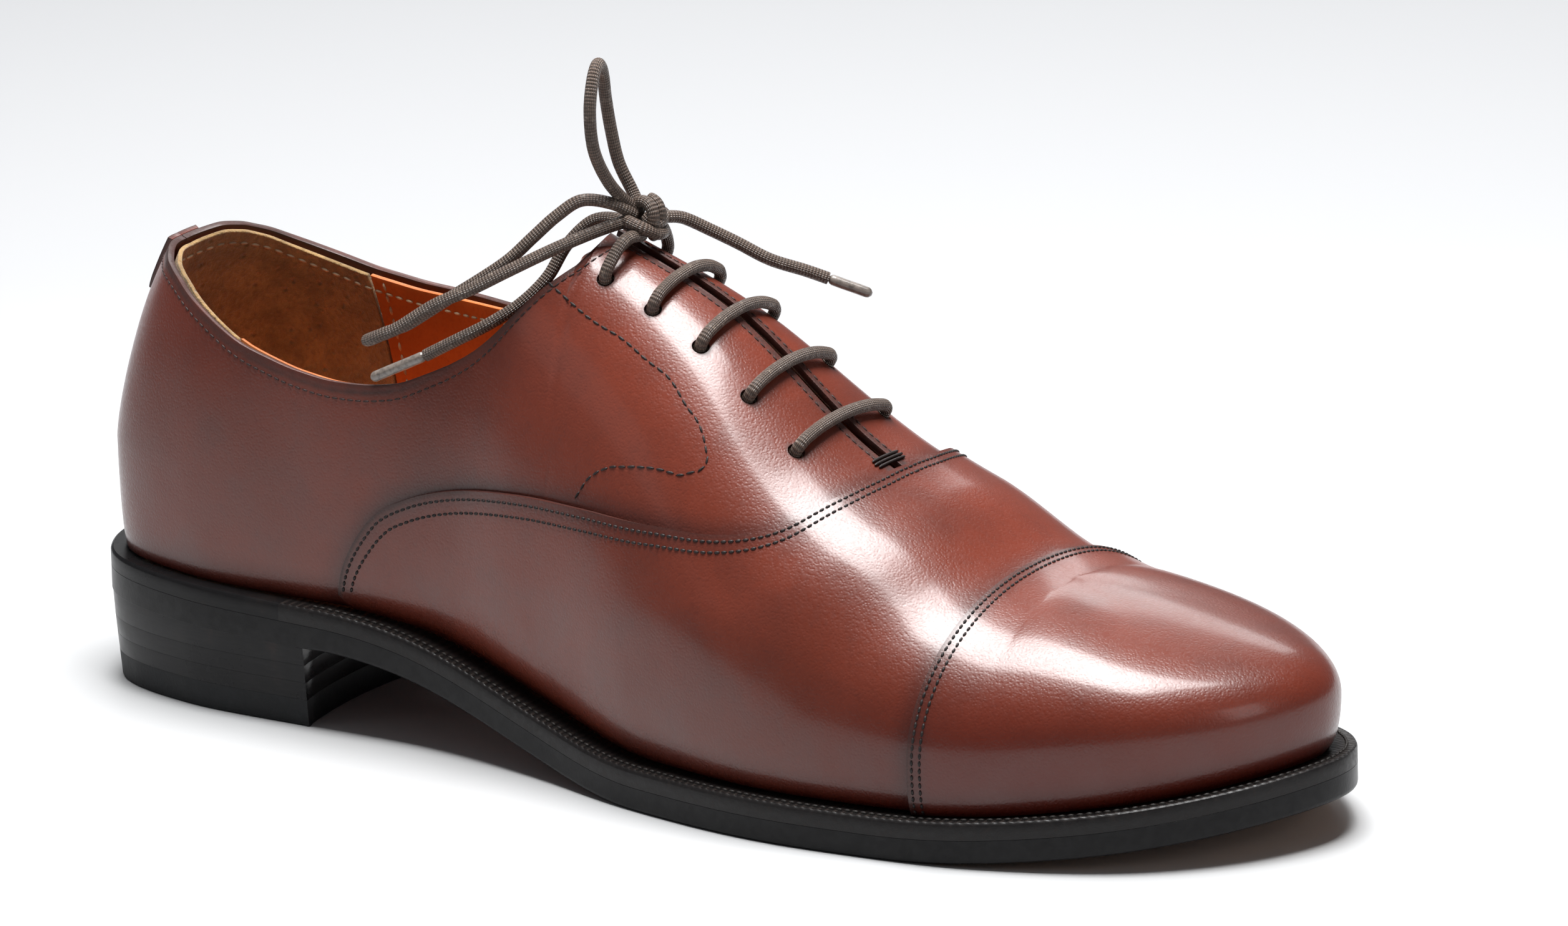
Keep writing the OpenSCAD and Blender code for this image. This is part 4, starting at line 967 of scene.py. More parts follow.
class Step(bpy.types.Operator):
    """A step of the build"""
    bl_idname = "oxford.step"
    bl_label = "Build step"
    bl_options = {"REGISTER", "UNDO"}

    def execute(self, context):
        self.build(context.scene.shoe_sizes)
        return {"FINISHED"}


def length(name, description, default):
    return bpy.props.FloatProperty(name=name, description=description, default=default, unit="LENGTH")


def colour(name, description, default):
    return bpy.props.FloatVectorProperty(name=name, description=description, default=default, subtype="COLOR")


class ShoeSizes(bpy.types.PropertyGroup):
    edge_round: length("Leather edge", "Rounding of a cut leather edge", 0.0004)
    seam_pitch: length("Seam pitch", "Pitch of the double seams", 0.0016)
    neck_pitch: length("Line pitch", "Pitch of the single ornamental line", 0.0024)
    welt_pitch: length("Welt pitch", "Pitch of the welt's stitches", 0.0019)
    thread_d: length("Thread", "Thickness of the upper's thread", 0.00052)
    rows: bpy.props.IntProperty(name="Rows", description="Rows of each upper panel", default=54)


class ShoeLooks(bpy.types.PropertyGroup):
    upper: colour("Upper", "Colour of the calf", (0.16, 0.029, 0.0145))
    # upper_dark also gives the painted shadow beside raised seam edges. upper_deep, darkened, gives the
    # painted shade low along the welt.
    upper_dark: colour("Burnish", "Colour of the burnished seams", (0.036, 0.011, 0.0095))
    upper_deep: colour("Polish", "Colour of the polished toe and heel", (0.105, 0.0095, 0.003))
    edge: colour("Edge", "Colour of the inked edges", (0.0095, 0.009, 0.0095))
    lining: colour("Lining", "Colour of the smooth lining", (0.62, 0.15, 0.024))
    suede: colour("Suede", "Colour of the suede heel lining", (0.5, 0.3, 0.115))
    lace: colour("Lace", "Colour of the waxed lace", (0.135, 0.094, 0.073))


class OXFORD_OT_camera(Step):
    """Sets the camera where the shoe is seen from the outer side and a little above"""
    bl_idname = "oxford.camera"
    bl_label = "Camera"
    azimuth, elevation, roll = math.radians(34.71), math.radians(16.01), math.radians(-1.54)
    distance, lens_mm, target = 3.23921, 353.8, (0.01969, -0.00104, 0.0654)

    def build(self, sizes):
        a, e = self.azimuth, self.elevation
        back = Vector((math.sin(a) * math.cos(e), -math.cos(a) * math.cos(e), math.sin(e)))
        right = Vector((math.cos(a), math.sin(a), 0))
        up = back.cross(right)
        turned_right = right * math.cos(self.roll) + up * math.sin(self.roll)
        turned_up = up * math.cos(self.roll) - right * math.sin(self.roll)
        data = bpy.data.cameras.new("Camera")
        data.lens, data.sensor_width, data.sensor_fit = self.lens_mm, 36, "HORIZONTAL"
        data.clip_start, data.clip_end = 0.1, 60
        camera = linked("Camera", data)
        axes = Matrix((turned_right, turned_up, back)).transposed().to_4x4()
        camera.matrix_world = Matrix.Translation(Vector(self.target) + back * self.distance) @ axes
        bpy.context.scene.camera = camera


class OXFORD_OT_free_lace(Step):
    """The bow: two loops and two ends of the lace, each with its tip"""
    bl_idname = "oxford.free_lace"
    bl_label = "Bow and ends"
    knot = (-14, 0, 113)
    upright = ((-16, 0, 115), (-18, -4, 119), (-19, -8, 124), (-19.5, -11.5, 131), (-19.5, -12.5, 139),
               (-20, -10.5, 145.5), (-21, -7, 148.3), (-22.3, -3.5, 145.5), (-23.2, -1.3, 139), (-23, 0, 132),
               (-22, 1, 125), (-19.5, 2, 119), (-17, 1, 116))
    behind = ((-16, -2, 115), (-19, -6, 118), (-24, -10, 119), (-28, -13.5, 116), (-32, -17, 111.5),
              (-36, -20, 107), (-41, -23, 103), (-48, -27, 98), (-55, -30, 93), (-57.6, -30.9, 91.7),
              (-60, -31.8, 90.5), (-61.8, -32.6, 89.8), (-62.5, -34.5, 89.5), (-61.8, -36.4, 89.8),
              (-60, -37.2, 90.5), (-57.1, -36.7, 92), (-54, -35.5, 93.5), (-47, -32, 98.5),
              (-40, -28, 102), (-34, -23.5, 105.5), (-27, -17, 109.5), (-21, -10, 112.5), (-17, -4, 114))
    outer_end = ((-17, -2, 112), (-21, -2, 113.5), (-26.5, -3, 112.5), (-31, -6, 107.5), (-33.5, -10, 101),
                 (-37, -15, 96), (-42, -20, 92), (-48, -23.5, 88.5), (-55, -25, 84.6))
    outer_tip = ((-55, -25, 84.6), (-59.3, -25.7, 82.5), (-63.7, -26.3, 80.4), (-68, -27, 78.3))
    front_end = ((-12, 3, 114), (-10, 7, 113), (-6, 11, 110), (-1, 14, 107), (5, 17, 103.5),
                 (11, 21, 101), (15, 24, 99))
    front_tip = ((15, 24, 99), (17.7, 25.5, 97.8), (20.3, 27, 96.7), (23, 28.5, 95.5))

    def build(self, sizes):
        tips = {}
        for name, route in (("outer", self.outer_tip), ("front", self.front_tip)):
            tip, _ = cord_piece("Lace_tip_" + name, [route], LACE_D * 0.43, round_ends=True)
            tips[name] = dress(tip, "aglet", nodes=["lace_tip_" + name])
        pieces = (("Loop_upright", self.upright, "lace_loop_upright", "object", []),
                  ("Loop_behind", self.behind, "lace_loop_back", "object", []),
                  ("End_outer", self.outer_end, "lace_end_outer", "fitting", [tips["outer"]]),
                  ("End_front", self.front_end, "lace_end_front", "fitting", [tips["front"]]))
        for name, route, node, far, with_pieces in pieces:
            cord, paths = cord_piece(name, [route], LACE_D / 2)
            dress(cord, "lace", nodes=[node])


LACE_OVER = SHELL_IN + STAY_STEP + UPPER_T + LACE_D / 2 + 0.6


def bar_route(k):
    """The lace between a pair of holes: up through one, over the facings and down the other."""
    u, reach, over = HOLE_U[k], HOLE_SIDE[k], LACE_OVER
    stops = ((reach, LINING_IN - 1.6), (reach, over - LACE_D / 2 - 0.2), (reach - 1.6, over),
             (reach * 0.75, over + 0.15), (reach * 0.5, over + 0.1), (reach * 0.22, over))
    half = {side: [skin(on_side(side, u), e_beside_ridge(u, d), off) for d, off in stops]
            for side in (OUTER, INNER)}
    return half[OUTER] + [skin(u, 1.0, over)] + half[INNER][::-1]


def strand_route(side, knot):
    """The lace from a top hole up into the knot."""
    u, reach, over = HOLE_U[-1], HOLE_SIDE[-1], LACE_OVER
    stops = ((reach, LINING_IN - 1.6), (reach, over - LACE_D / 2 - 0.2), (reach - 2, over + 0.6),
             (reach * 0.5, over + 2.5))
    climb = [skin(on_side(side, u), e_beside_ridge(u, d), off) for d, off in stops]
    return climb + [knot - SHIFT + [0, side * 2.5, -2]]


class OXFORD_OT_lacing(Step):
    """The straight bars of the lace, its top strands and the knot"""
    bl_idname = "oxford.lacing"
    bl_label = "Lacing and knot"
    hitch = ((-3.2, -6.2, -4.2), (-1.2, -4.6, -2), (1.4, -1.8, -0.6), (2.4, 1.2, 0.6), (1, 4, 1.4),
             (-2.2, 4.6, 0.4), (-4, 2.4, -1.4), (-3.8, -0.8, -1.8))
    other_hitch = ((-3.4, 6.2, -4.6), (-0.6, 4.8, -3), (2.2, 2, -2.2), (2.8, -1.4, -1.6), (1.2, -4.4, 0.2),
                   (-2, -4.6, 1.2), (-4.2, -2, 0.4), (-4, 1.4, -0.6))

    def build(self, sizes):
        bars, _ = cord_piece("Lace_bars", [bar_route(k) for k in range(4)], LACE_D / 2, shift=True)
        dress(bars, "lace", nodes=["lace_bars"])
        knot = np.array(OXFORD_OT_free_lace.knot, float)
        strands, _ = cord_piece("Lace_strands", [strand_route(side, knot) for side in (OUTER, INNER)],
                                LACE_D / 2, shift=True)
        dress(strands, "lace", nodes=["lace_top_strands"])
        # The wrap goes round the bow's middle, and two hitches cross under it.
        turn = np.linspace(0, 2 * math.pi * 1.3, 30)
        wrap = [(2.9 * math.sin(t) - 0.5, 1.5 - 3.2 * t / turn[-1], 1.6 + 3.3 * math.cos(t)) for t in turn]
        routes = [[knot + p for p in np.array(route, float)]
                  for route in (wrap, self.hitch, self.other_hitch)]
        tie, _ = cord_piece("Lace_knot", routes, LACE_D / 2)
        dress(tie, "lace", nodes=["lace_knot"])


class OXFORD_OT_quarters(Step):
    """The two quarters, with their lace holes"""
    bl_idname = "oxford.quarters"
    bl_label = "Quarters"

    def build(self, sizes):
        for side, node in ((OUTER, "quarter_outer"), (INNER, "quarter_inner")):
            u, e = quarter_grid(side, QUARTER_COLUMNS, LAP, 0, 7, sizes.rows)
            u = np.maximum(u, 0.004)
            off = quarter_in(u, e)
            v = on_side(side, u)
            rim = [skin(on_side(side, TOP_U), top_e(TOP_U, side) - down / E_MM, 0 * TOP_U + d)
                   for d, down in ((0.7, 0), (-0.4, 0), (0.9, 1))]
            seam = [skin(on_side(side, SEAM_FINE[:, 0]), SEAM_FINE[:, 1], 0 * T_FINE)]
            piece = sheet_piece(node.title(), v, e, off + UPPER_T, off, lambda p: edge_marks(p, rim, seam))
            rounded(piece, sizes.edge_round)
            holes_in(piece, side)
            dress(piece, "upper", nodes=[node])


class OXFORD_OT_vamp(Step):
    """The vamp, whose raised rear edge lies over the quarters"""
    bl_idname = "oxford.vamp"
    bl_label = "Vamp"

    def build(self, sizes):
        wing = np.concatenate([np.linspace(0.6, 9, 80), np.linspace(9.08, SEAM_END, 40)])
        front = np.linspace(VAMP_FRONT, VAMP_TOE, 46)
        foot = front - 0.17 * (1 - (front - VAMP_FRONT) / (VAMP_TOE - VAMP_FRONT))
        u, e = saddle_grid(wing, line_at(VAMP_SEAM, wing), front, foot, sizes.rows)
        off = vamp_in(u, e)
        rim = trace(SEAM_FINE[:, 0], SEAM_FINE[:, 1], UPPER_T)
        cap = trace(*cap_edge(0), UPPER_T)
        piece = saddle_piece("Vamp", u, e, off + UPPER_T, off, len(wing) - 1, False,
                             lambda p: edge_marks(p, rim, rim + cap))
        dress(rounded(piece, sizes.edge_round), "upper", nodes=["vamp"])


class OXFORD_OT_toe_cap(Step):
    """The toe cap, whose edge lies over the vamp"""
    bl_idname = "oxford.toe_cap"
    bl_label = "Toe cap"

    def build(self, sizes):
        w = np.linspace(0, 1, sizes.rows + 1)
        column = np.concatenate([np.linspace(CAP_U, TOE_FAN, 12), np.linspace(9.03, 12, 84)])[:, None]
        u = column - CAP_BEND * (1 - w) * (1 - ease((column - CAP_U) / 0.4))
        e = mix(FOOT_E, 1, w) + 0 * u
        rim = trace(*cap_edge(0), CAP_IN + UPPER_T / 2)
        piece = saddle_piece("Toe_cap", u, e, CAP_IN + UPPER_T + 0 * u, CAP_IN + 0 * u, 0, True,
                             lambda p: edge_marks(p, rim, rim))
        dress(rounded(piece, sizes.edge_round), "upper", nodes=["toe_cap"])


class OXFORD_OT_back_tab(Step):
    """The low strap sewn over the back seam, just under the topline"""
    bl_idname = "oxford.back_tab"
    bl_label = "Back tab"
    half_u, drop, thick = 0.34, 9, 1.2

    def build(self, sizes):
        us = np.linspace(-self.half_u, self.half_u, 41)[:, None]
        w = np.linspace(0, 1, 15)
        high = top_round_heel(us)
        # The lower corners are rounded.
        drop = self.drop * (1 - 0.3 * np.clip((np.abs(us) / self.half_u - 0.8) / 0.2, 0, 1) ** 2)
        e = high - drop / E_MM * (1 - w)
        u = (us + 0 * w) % STATIONS
        inside = quarter_in(np.minimum(u, STATIONS - u), e) + UPPER_T + 0.05

        def marks(points):
            rim = nearness(points, np.concatenate(edges), 1.2)
            return {"rim": rim, "seam": 0.5 + 0 * rim, "polish": 0 * rim, "foot": 0 * rim}
        outer = skin(u, e, inside + self.thick)
        edges = [outer[0], outer[-1], outer[:, 0], outer[:, -1]]
        piece = sheet_piece("Back_tab", u, e, inside + self.thick, inside, marks)
        dress(rounded(piece, 0.0004), "upper", nodes=["back_tab"])


class OXFORD_OT_linings(Step):
    """The suede heel lining, the smooth quarter linings and the vamp lining"""
    bl_idname = "oxford.linings"
    bl_label = "Linings"

    def build(self, sizes):
        band = np.linspace(-GRIP_TOP, GRIP_TOP, 81)[:, None]
        w = np.linspace(0, 1, 41)
        high = top_round_heel(band)
        e = mix(FOOT_E, high - GAP / E_MM, w)
        u = band * mix((GRIP_LOW - 0.01) / GRIP_TOP, (GRIP_TOP - 0.01) / GRIP_TOP, w)
        rim = [skin(on_side(side, TOP_U), top_e(TOP_U, side), 0 * TOP_U + LINING_OUT)
               for side in (OUTER, INNER)]

        def marks(points):
            return {"rim": nearness(points, np.concatenate(rim), 1.2)}
        grip = sheet_piece("Heel_grip", u % STATIONS, e, LINING_OUT + 0 * u, LINING_IN + 0 * u, marks)
        dress(rounded(grip, 0.0002), "suede", nodes=["heel_grip"])
        # The stiffener between them stays below the topline.
        band = np.linspace(-COUNTER_END, COUNTER_END, 61)[:, None]
        high = top_round_heel(band) - 7 / E_MM
        e = mix(FOOT_E, np.minimum(high, counter_top(band)), w)
        u = (band + 0 * w) % STATIONS
        counter = sheet_piece("Heel_counter", u, e, SHELL_IN + STIFFENER_T + 0 * u, SHELL_IN + 0 * u, marks)
        dress(counter, "board", nodes=["heel_counter"])
        for side, node in ((OUTER, "quarter_lining_outer"), (INNER, "quarter_lining_inner")):
            u, e = quarter_grid(side, LINING_COLUMNS, LAP, GAP, 6, 36)
            u = u + 0.012 * (1 - ease((u - GRIP_TOP) / 0.4))
            piece = sheet_piece(node.title(), on_side(side, u), e, LINING_OUT + 0 * u, LINING_IN + 0 * u,
                                marks)
            rounded(piece, 0.0002)
            holes_in(piece, side)
            dress(piece, "lining", nodes=[node])
        wing = np.linspace(1.8, SEAM_END, 70)
        top = ahead_of_seam(wing, LAP + GAP)
        top[-1, 1] = 1
        front = np.concatenate([np.linspace(7.72, 9, 24), np.linspace(9.08, 12, 40)])
        foot = front - np.maximum(0, 0.15 - 0.17 * (front - 7.7))
        u, e = saddle_grid(wing, top, front, foot, 30)
        piece = saddle_piece("Vamp_lining", u, e, LINING_OUT + 0 * u, LINING_IN + 0 * u, len(wing) - 1,
                             True, marks)
        dress(piece, "lining", nodes=["vamp_lining"])


class OXFORD_OT_tongue(Step):
    """The tongue under the facings"""
    bl_idname = "oxford.tongue"
    bl_label = "Tongue"

    def build(self, sizes):
        u = np.linspace(4.88, 7.42, 60)[:, None]
        base = ease((u - 6.9) / 0.5)
        narrows, widens = ease((u - 5.6) / 1.8), ease((u - 4.86) / 0.34)
        half = TONGUE_HALF_W * (1 - 0.35 * narrows) * (0.7 + 0.3 * widens ** 0.6)
        off = LINING_IN - mix(LACE_D + 2 * GAP, 2 * GAP, base)
        w = np.linspace(0, 1, 31)
        e = mix(e_beside_ridge(u, half), 1, w)
        u, off = u + 0 * w, off + 0 * w

        def marks(points):
            zero = 0 * points[:, 0]
            return {"rim": zero, "seam": zero + 0.3, "polish": zero, "foot": zero}
        piece = saddle_piece("Tongue", u, e, off, off - TONGUE_T, 0, False, marks)
        dress(rounded(piece, 0.0005), "upper", "tongue", ["tongue"])


def rim_point(u, inset):
    """A point of the sole's edge seen from above, an inset in mm inside it."""
    r = section(u)
    edge, spine = r[..., 0:2], r[..., 2:4]
    return edge + unit(spine - edge) * np.asarray(inset, float)[..., None]


def on_sole(xy, height):
    """Points above the outsole's underside."""
    return np.concatenate([xy, (sole_z(xy[:, 0]) + height)[:, None]], 1)


def edge_strip(name, us, profile, marks):
    """A strip of the sole's edge: profile gives (inset, height) pairs round its section, at each u."""
    points = np.stack([on_sole(rim_point(us, inset + 0 * us), height) for inset, height in profile], 1)
    columns, rows = points.shape[:2]
    faces = net(columns, rows, False, True)
    faces += [list(range(rows)), list(range((columns - 1) * rows, columns * rows))]
    return mesh_object(name, placed(points.reshape(-1, 3)), faces, 35, marks(points))


def join_u():
    """Where the welt meets the rand."""
    u = np.linspace(2, 3, 400)
    return float(np.interp(HEEL_LEN - 6, section(u)[:, 0], u))


class OXFORD_OT_welt(Step):
    """The stitched welt round the front and the plain rand round the heel"""
    bl_idname = "oxford.welt"
    bl_label = "Welt and rand"

    def build(self, sizes):
        start = join_u()
        top = EDGE_T
        front = np.linspace(start, STATIONS - start, 420)
        back = np.linspace(-start, start, 130) % STATIONS
        for name, us, key in (("Welt", front, "welt"), ("Heel_rand", back, "edge")):
            seat = section(us)[:, 7] + WELT_SEAT
            profile = [(0.05, OUTSOLE_T), (0, OUTSOLE_T + 0.05), (0, OUTSOLE_T + 1.4), (0, top - 0.75),
                       (0.18, top - 0.3), (0.6, top), (1.0, top), (2.2, top), (3.4, top), (4.4, top - 0.1),
                       (seat, top - 0.1), (seat, OUTSOLE_T)]

            def marks(points):
                across = np.linalg.norm(np.diff(points[:, 1, :], axis=0), axis=1)
                run = np.concatenate([[0], np.cumsum(across)])
                strip = np.array([0, 0, 0, 0, 0, 0.2, 1, 1, 1, 0.3, 0, 0], float)
                return {"run": np.repeat(run, points.shape[1]), "strip": np.tile(strip, points.shape[0])}
            piece = edge_strip(name, us, profile, marks)
            dress(piece, key, nodes=[name.lower()])
        between = np.linspace(start + 0.25, STATIONS - start - 0.25, 900)
        line = placed(on_sole(rim_point(between, 2.3 + 0 * between), top + 0.08))
        stitched("Welt_stitches", [line], "welt_thread", sizes.welt_pitch,
                 0.00165, 0.00075)


class OXFORD_OT_outsole(Step):
    """The outsole, with its inked edge and stained waist"""
    bl_idname = "oxford.outsole"
    bl_label = "Outsole"

    def build(self, sizes):
        us = np.linspace(0, STATIONS, 480, endpoint=False)
        rim = rim_point(us, 0 * us)
        spine = section(us)[:, 2:4]
        # Rows from the middle of the underside, out round the edge and back to the middle on top
        low = [(s, 0.0) for s in (0, 0.2, 0.4, 0.6, 0.75, 0.85, 0.92)]
        edge = [(1.6, 0.0), (0.8, 0.05), (0.35, 0.22), (0.1, 0.55), (0, 1.1), (0, OUTSOLE_T - 0.05),
                (0.05, OUTSOLE_T)]
        high = [(s, OUTSOLE_T) for s in (0.9, 0.5, 0)]
        rings, under = [], []
        # Over the heel the lower edge is square, so that the two make one face.
        soft = 0.05 + 0.95 * ease((rim[:, 0] - HEEL_LEN + 4) / 12)
        for s, h in low + edge + high:
            inset = (s, h) in edge
            bent = soft if inset and h < 2 else 1 + 0 * soft
            xy = rim_point(us, s * bent) if inset else spine + (rim - spine) * s
            rings.append(on_sole(xy, h * bent))
            under.append(1.0 if h == 0 and not (inset and s < 1) else 0.0)
        points = np.stack(rings, 1)
        columns, rows = points.shape[:2]
        flat = points.reshape(-1, 3)
        waist = ease((TREAD_START + 6 - flat[:, 0]) / 16)
        piece = mesh_object("Outsole", placed(flat), net(columns, rows, True, False), 35,
                            {"under": np.tile(np.array(under), columns), "waist": waist})
        dress(piece, "outsole", nodes=["outsole"])


class OXFORD_OT_heel(Step):
    """The stacked heel, its rubber top piece and its nails"""
    bl_idname = "oxford.heel"
    bl_label = "Heel"

    def outline(self, z, inset):
        """The heel's outline at a height: round the back, then along the breast's bow."""
        us = np.linspace(-3, 3, 140)
        rim = rim_point(us % STATIONS, HEEL_LEAN * (1 - z / (HEEL_H + HEEL_RISE)) + inset + 0 * us)
        t = np.linspace(0, 1, 26)[1:-1, None]
        bow = np.array([1.0, 0]) * BREAST_CURVE * 4 * t * (1 - t)
        edge = mix(rim[-1], rim[0], t) - bow
        inner = edge - np.array([inset, 0])
        return np.concatenate([rim, inner])

    def build(self, sizes):
        step = (HEEL_H - TOP_PIECE_T) / 3
        z = [TOP_PIECE_T + k * step for k in range(4)]
        layers = (("Heel_top_piece", 0.0, TOP_PIECE_T, False, "rubber", "top_piece_rubber"),
                  ("Heel_lift_lower", z[0], z[1], False, "edge", "black_sole_leather"),
                  ("Heel_lift_middle", z[1], z[2], False, "edge", "black_sole_leather"),
                  ("Heel_lift_upper", z[2], z[3], True, "edge", "black_sole_leather"))
        for name, low, high, under_seat, key, slot in layers:
            soft = 0.4 if low == 0 else 0.03
            rings = []
            for z_mm, inset in ((low, soft + 0.1), (low, soft), (low + soft * 0.3, soft * 0.3),
                                (low + soft, 0), (high - 0.03, 0), (high, 0.03), (high, 0.4)):
                xy = self.outline(z_mm, inset)
                top = sole_z(np.minimum(xy[:, 0], HEEL_LEN)) if under_seat else high + 0 * xy[:, 0]
                height = z_mm + 0 * xy[:, 0] if z_mm < (low + high) / 2 else top - (high - z_mm)
                rings.append(np.concatenate([xy, height[:, None]], 1))
            middle = [[SEAT_X, 0, low], [SEAT_X, 0, float(sole_z(SEAT_X)) if under_seat else high]]
            points = np.concatenate([np.stack(rings, 1).reshape(-1, 3), middle])
            rows, columns = len(rings), len(rings[0])
            faces = net(columns, rows, True, False)
            count = columns * rows
            for k in range(columns):
                n = (k + 1) % columns
                faces += [[k * rows, n * rows, count], [n * rows + rows - 1, k * rows + rows - 1, count + 1]]
            piece = mesh_object(name, placed(points), faces, 35)
            dress(piece, key, nodes=[name.lower()])
        heads = rim_point(np.arange(-2.4, 2.41, 0.6) % STATIONS, 9 + np.zeros(9))
        work = bmesh.new()
        for x, y in heads:
            at = Vector(placed([x, y, 0.2]))
            bmesh.ops.create_uvsphere(work, u_segments=16, v_segments=8, radius=0.9 * MM,
                                      matrix=Matrix.Translation(at) @ Matrix.Diagonal((1, 1, 0.2, 1)))
        mesh = mesh_of(work, "Heel_nails")
        mesh.shade_smooth()
        dress(linked("Heel_nails", mesh), "brass", nodes=["heel_nails"])


class OXFORD_OT_inner_pieces(Step):
    """Finishes for the pieces that stay as the frame has them"""
    bl_idname = "oxford.inner_pieces"
    bl_label = "Inner pieces"
    kept = {"shank": "steel", "cork_filler": "cork", "insole": "insole", "sock_liner": "lining",
            "toe_puff": "board", "facing_stay_outer": "tape", "facing_stay_inner": "tape"}

    def build(self, sizes):
        for node, key in self.kept.items():
            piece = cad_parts[node]
            piece.data.materials.clear()
            piece.data.materials.append(finish_for(key))


class OXFORD_OT_stitches(Step):
    """Every visible row of the upper's stitches"""
    bl_idname = "oxford.stitches"
    bl_label = "Stitches"

    def build(self, sizes):
        d = sizes.thread_d
        rows = seam_lines(SEAM_ROWS[0], 0.75, SUNK) + seam_lines(SEAM_ROWS[1], 0.85, SUNK)
        for distance in SEAM_ROWS:
            rows += map(placed, trace(*cap_edge(distance), CAP_IN + UPPER_T + SUNK))
        stitched("Double_seams", rows, "dark_thread", sizes.seam_pitch, 0.00138, d * 1.25)
        neck = line_at(SWAN_NECK, np.linspace(0, len(SWAN_NECK) - 1, 160))
        off = quarter_in(neck[:, 0], neck[:, 1]) + UPPER_T + SUNK
        lines = list(map(placed, trace(neck[:, 0], neck[:, 1], off)))
        stitched("Swan_neck", lines, "dark_thread", sizes.neck_pitch, 0.0021, d * 1.05)
        rim_u = np.linspace(0.5, 4.84, 240)
        corner = line_at([(4.9, 0.752), (5, 0.81), (5.07, 0.875), (5.11, 0.93), (5.15, 0.955)],
                         np.linspace(0, 4, 20))
        facing_u = np.linspace(5.18, 7.2, 120)
        u = np.concatenate([rim_u, corner[:, 0], facing_u])
        lines = []
        for side in (OUTER, INNER):
            # The row turns from the topline into the facing's edge.
            e = np.concatenate([top_e(rim_u, side) - RIM_ROW / E_MM, corner[:, 1],
                                e_beside_ridge(facing_u, SLIT_W / 2 + 1.8)])
            lines.append(placed(skin(on_side(side, u), e, quarter_in(u, e) + UPPER_T + SUNK)))
        stitched("Topline_stitches", lines, "rim_thread", 0.0019, 0.0016, d * 0.85)
        inner = np.linspace(0.02, 4.8, 260)
        lift = LINING_IN - SUNK
        lines = [placed(skin(on_side(side, inner), top_e(inner, side) - LINING_ROW / E_MM, lift + 0 * inner))
                 for side in (OUTER, INNER)]
        w = np.linspace(0.2, 0.96, 60)
        u = mix(GRIP_LOW, GRIP_TOP, w) + 0.1
        for side in (OUTER, INNER):
            lines.append(placed(skin(on_side(side, u), mix(FOOT_E, top_e(u, side), w), lift + 0 * w)))
        stitched("Lining_stitches", lines, "pale_thread", 0.0027, 0.0021, d * 1.4)
        # The bar tack at the foot of the slit: three short bars across it
        off = SHELL_IN + STAY_STEP + UPPER_T + 0.35
        tacks = []
        for u, reach in ((7.16, 5.0), (7.19, 5.4), (7.22, 5.0)):
            tacks.append([skin(on_side(OUTER if s < 0 else INNER, u), e_beside_ridge(u, abs(s)), off)
                          for s in np.linspace(-reach, reach, 13)])
        tack, _ = cord_piece("Bar_tack", tacks, 0.32, shift=True, round_ends=True, sides=8)
        dress(tack, "dark_thread")


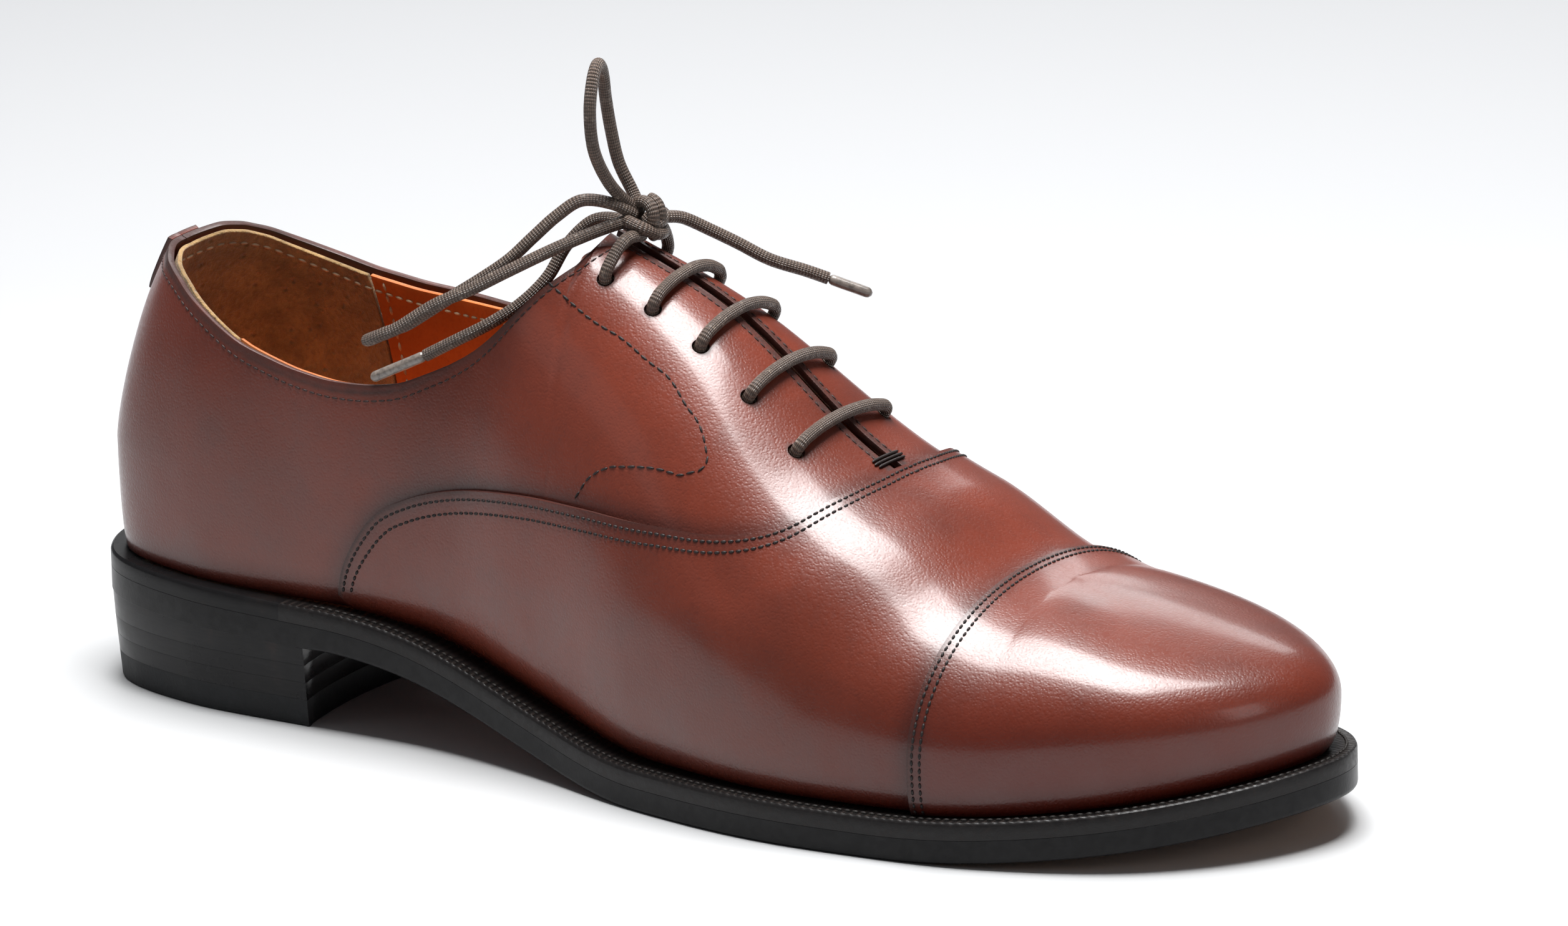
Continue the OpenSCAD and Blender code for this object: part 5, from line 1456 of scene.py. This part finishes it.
class OXFORD_OT_stage(Step):
    """The pale floor and the soft lights"""
    bl_idname = "oxford.stage"
    bl_label = "Floor and lights"

    def build(self, sizes):
        bpy.ops.mesh.primitive_circle_add(vertices=96, radius=9, fill_type="NGON", location=(0, 0, 0))
        floor = bpy.context.object
        floor.name = "Floor"
        f = Finish("Studio_floor", Roughness=0.6, Specular_IOR_Level=0.25)
        # Farther off, the white floor rises into a light grey.
        a = OXFORD_OT_camera.azimuth
        back = f.node("ShaderNodeVectorMath", {0: f.place(), 1: (-math.sin(a), math.cos(a), 0)},
                      output="Value", operation="DOT_PRODUCT")
        cloud = f.noise(0.5, 2, 0.4)
        far = f.spread(back + cloud * 0.04, 0.28, 0.42)
        f.feed(Base_Color=f.blend(far, rgb((0.52, 0.525, 0.53)), rgb((0.46, 0.465, 0.475))))
        floor.data.materials.append(f.material)
        lights = (("Overhead", (-0.02, 0.1, 1.5), (-0.02, 0.08, 0.0), 0.95, 0.7, 24, 120),
                  ("Front_left", (-1.3, -1.5, 1.0), (0, 0, 0.05), 0.7, 0.6, 0.6, 180),
                  ("Right", (1.9, -0.2, 0.8), (0, 0, 0.05), 0.5, 0.9, 3, 180),
                  ("Behind", (-0.9, 1.7, 1.2), (-0.2, 0.35, 0.0), 1.2, 0.5, 3.5, 120))
        for name, place, aim, width, height, power, spread in lights:
            data = bpy.data.lights.new(name, "AREA")
            data.shape, data.size, data.size_y, data.energy = "RECTANGLE", width, height, power
            data.spread = math.radians(spread)
            turn = (Vector(aim) - Vector(place)).to_track_quat("-Z", "Y").to_matrix().to_4x4()
            linked(name, data).matrix_world = Matrix.Translation(Vector(place)) @ turn
        world = bpy.data.worlds.new("Studio")
        world.use_nodes = True
        backdrop = world.node_tree.nodes["Background"]
        backdrop.inputs["Color"].default_value = (0.93, 0.95, 1.0, 1.0)
        backdrop.inputs["Strength"].default_value = 0.13
        bpy.context.scene.world = world
        bpy.context.scene.view_settings.view_transform = "Standard"


STEPS = (OXFORD_OT_camera, OXFORD_OT_free_lace, OXFORD_OT_lacing, OXFORD_OT_quarters, OXFORD_OT_vamp,
         OXFORD_OT_toe_cap, OXFORD_OT_back_tab, OXFORD_OT_linings, OXFORD_OT_tongue, OXFORD_OT_outsole,
         OXFORD_OT_welt, OXFORD_OT_heel, OXFORD_OT_inner_pieces, OXFORD_OT_stitches, OXFORD_OT_stage)


class OXFORD_PT_shoe(bpy.types.Panel):
    """Sizes, colours and the steps of the build"""
    bl_idname = "OXFORD_PT_shoe"
    bl_label = "Oxford Shoe"
    bl_space_type = "VIEW_3D"
    bl_region_type = "UI"
    bl_category = "Oxford Shoe"

    def draw(self, context):
        for group in (context.scene.shoe_sizes, context.scene.shoe_looks):
            box = self.layout.box()
            for name in group.bl_rna.properties.keys():
                if name not in ("rna_type", "name"):
                    box.prop(group, name)
        for step in STEPS:
            self.layout.operator(step.bl_idname)


CLASSES = (ShoeSizes, ShoeLooks) + STEPS + (OXFORD_PT_shoe,)


def register():
    for cls in CLASSES:
        bpy.utils.register_class(cls)
    bpy.types.Scene.shoe_sizes = bpy.props.PointerProperty(type=ShoeSizes)
    bpy.types.Scene.shoe_looks = bpy.props.PointerProperty(type=ShoeLooks)


def unregister():
    del bpy.types.Scene.shoe_looks
    del bpy.types.Scene.shoe_sizes
    for cls in reversed(CLASSES):
        bpy.utils.unregister_class(cls)


def main():
    register()
    for step in STEPS:
        family, name = step.bl_idname.split(".")
        getattr(getattr(bpy.ops, family), name)()


if __name__ == "__main__":
    main()
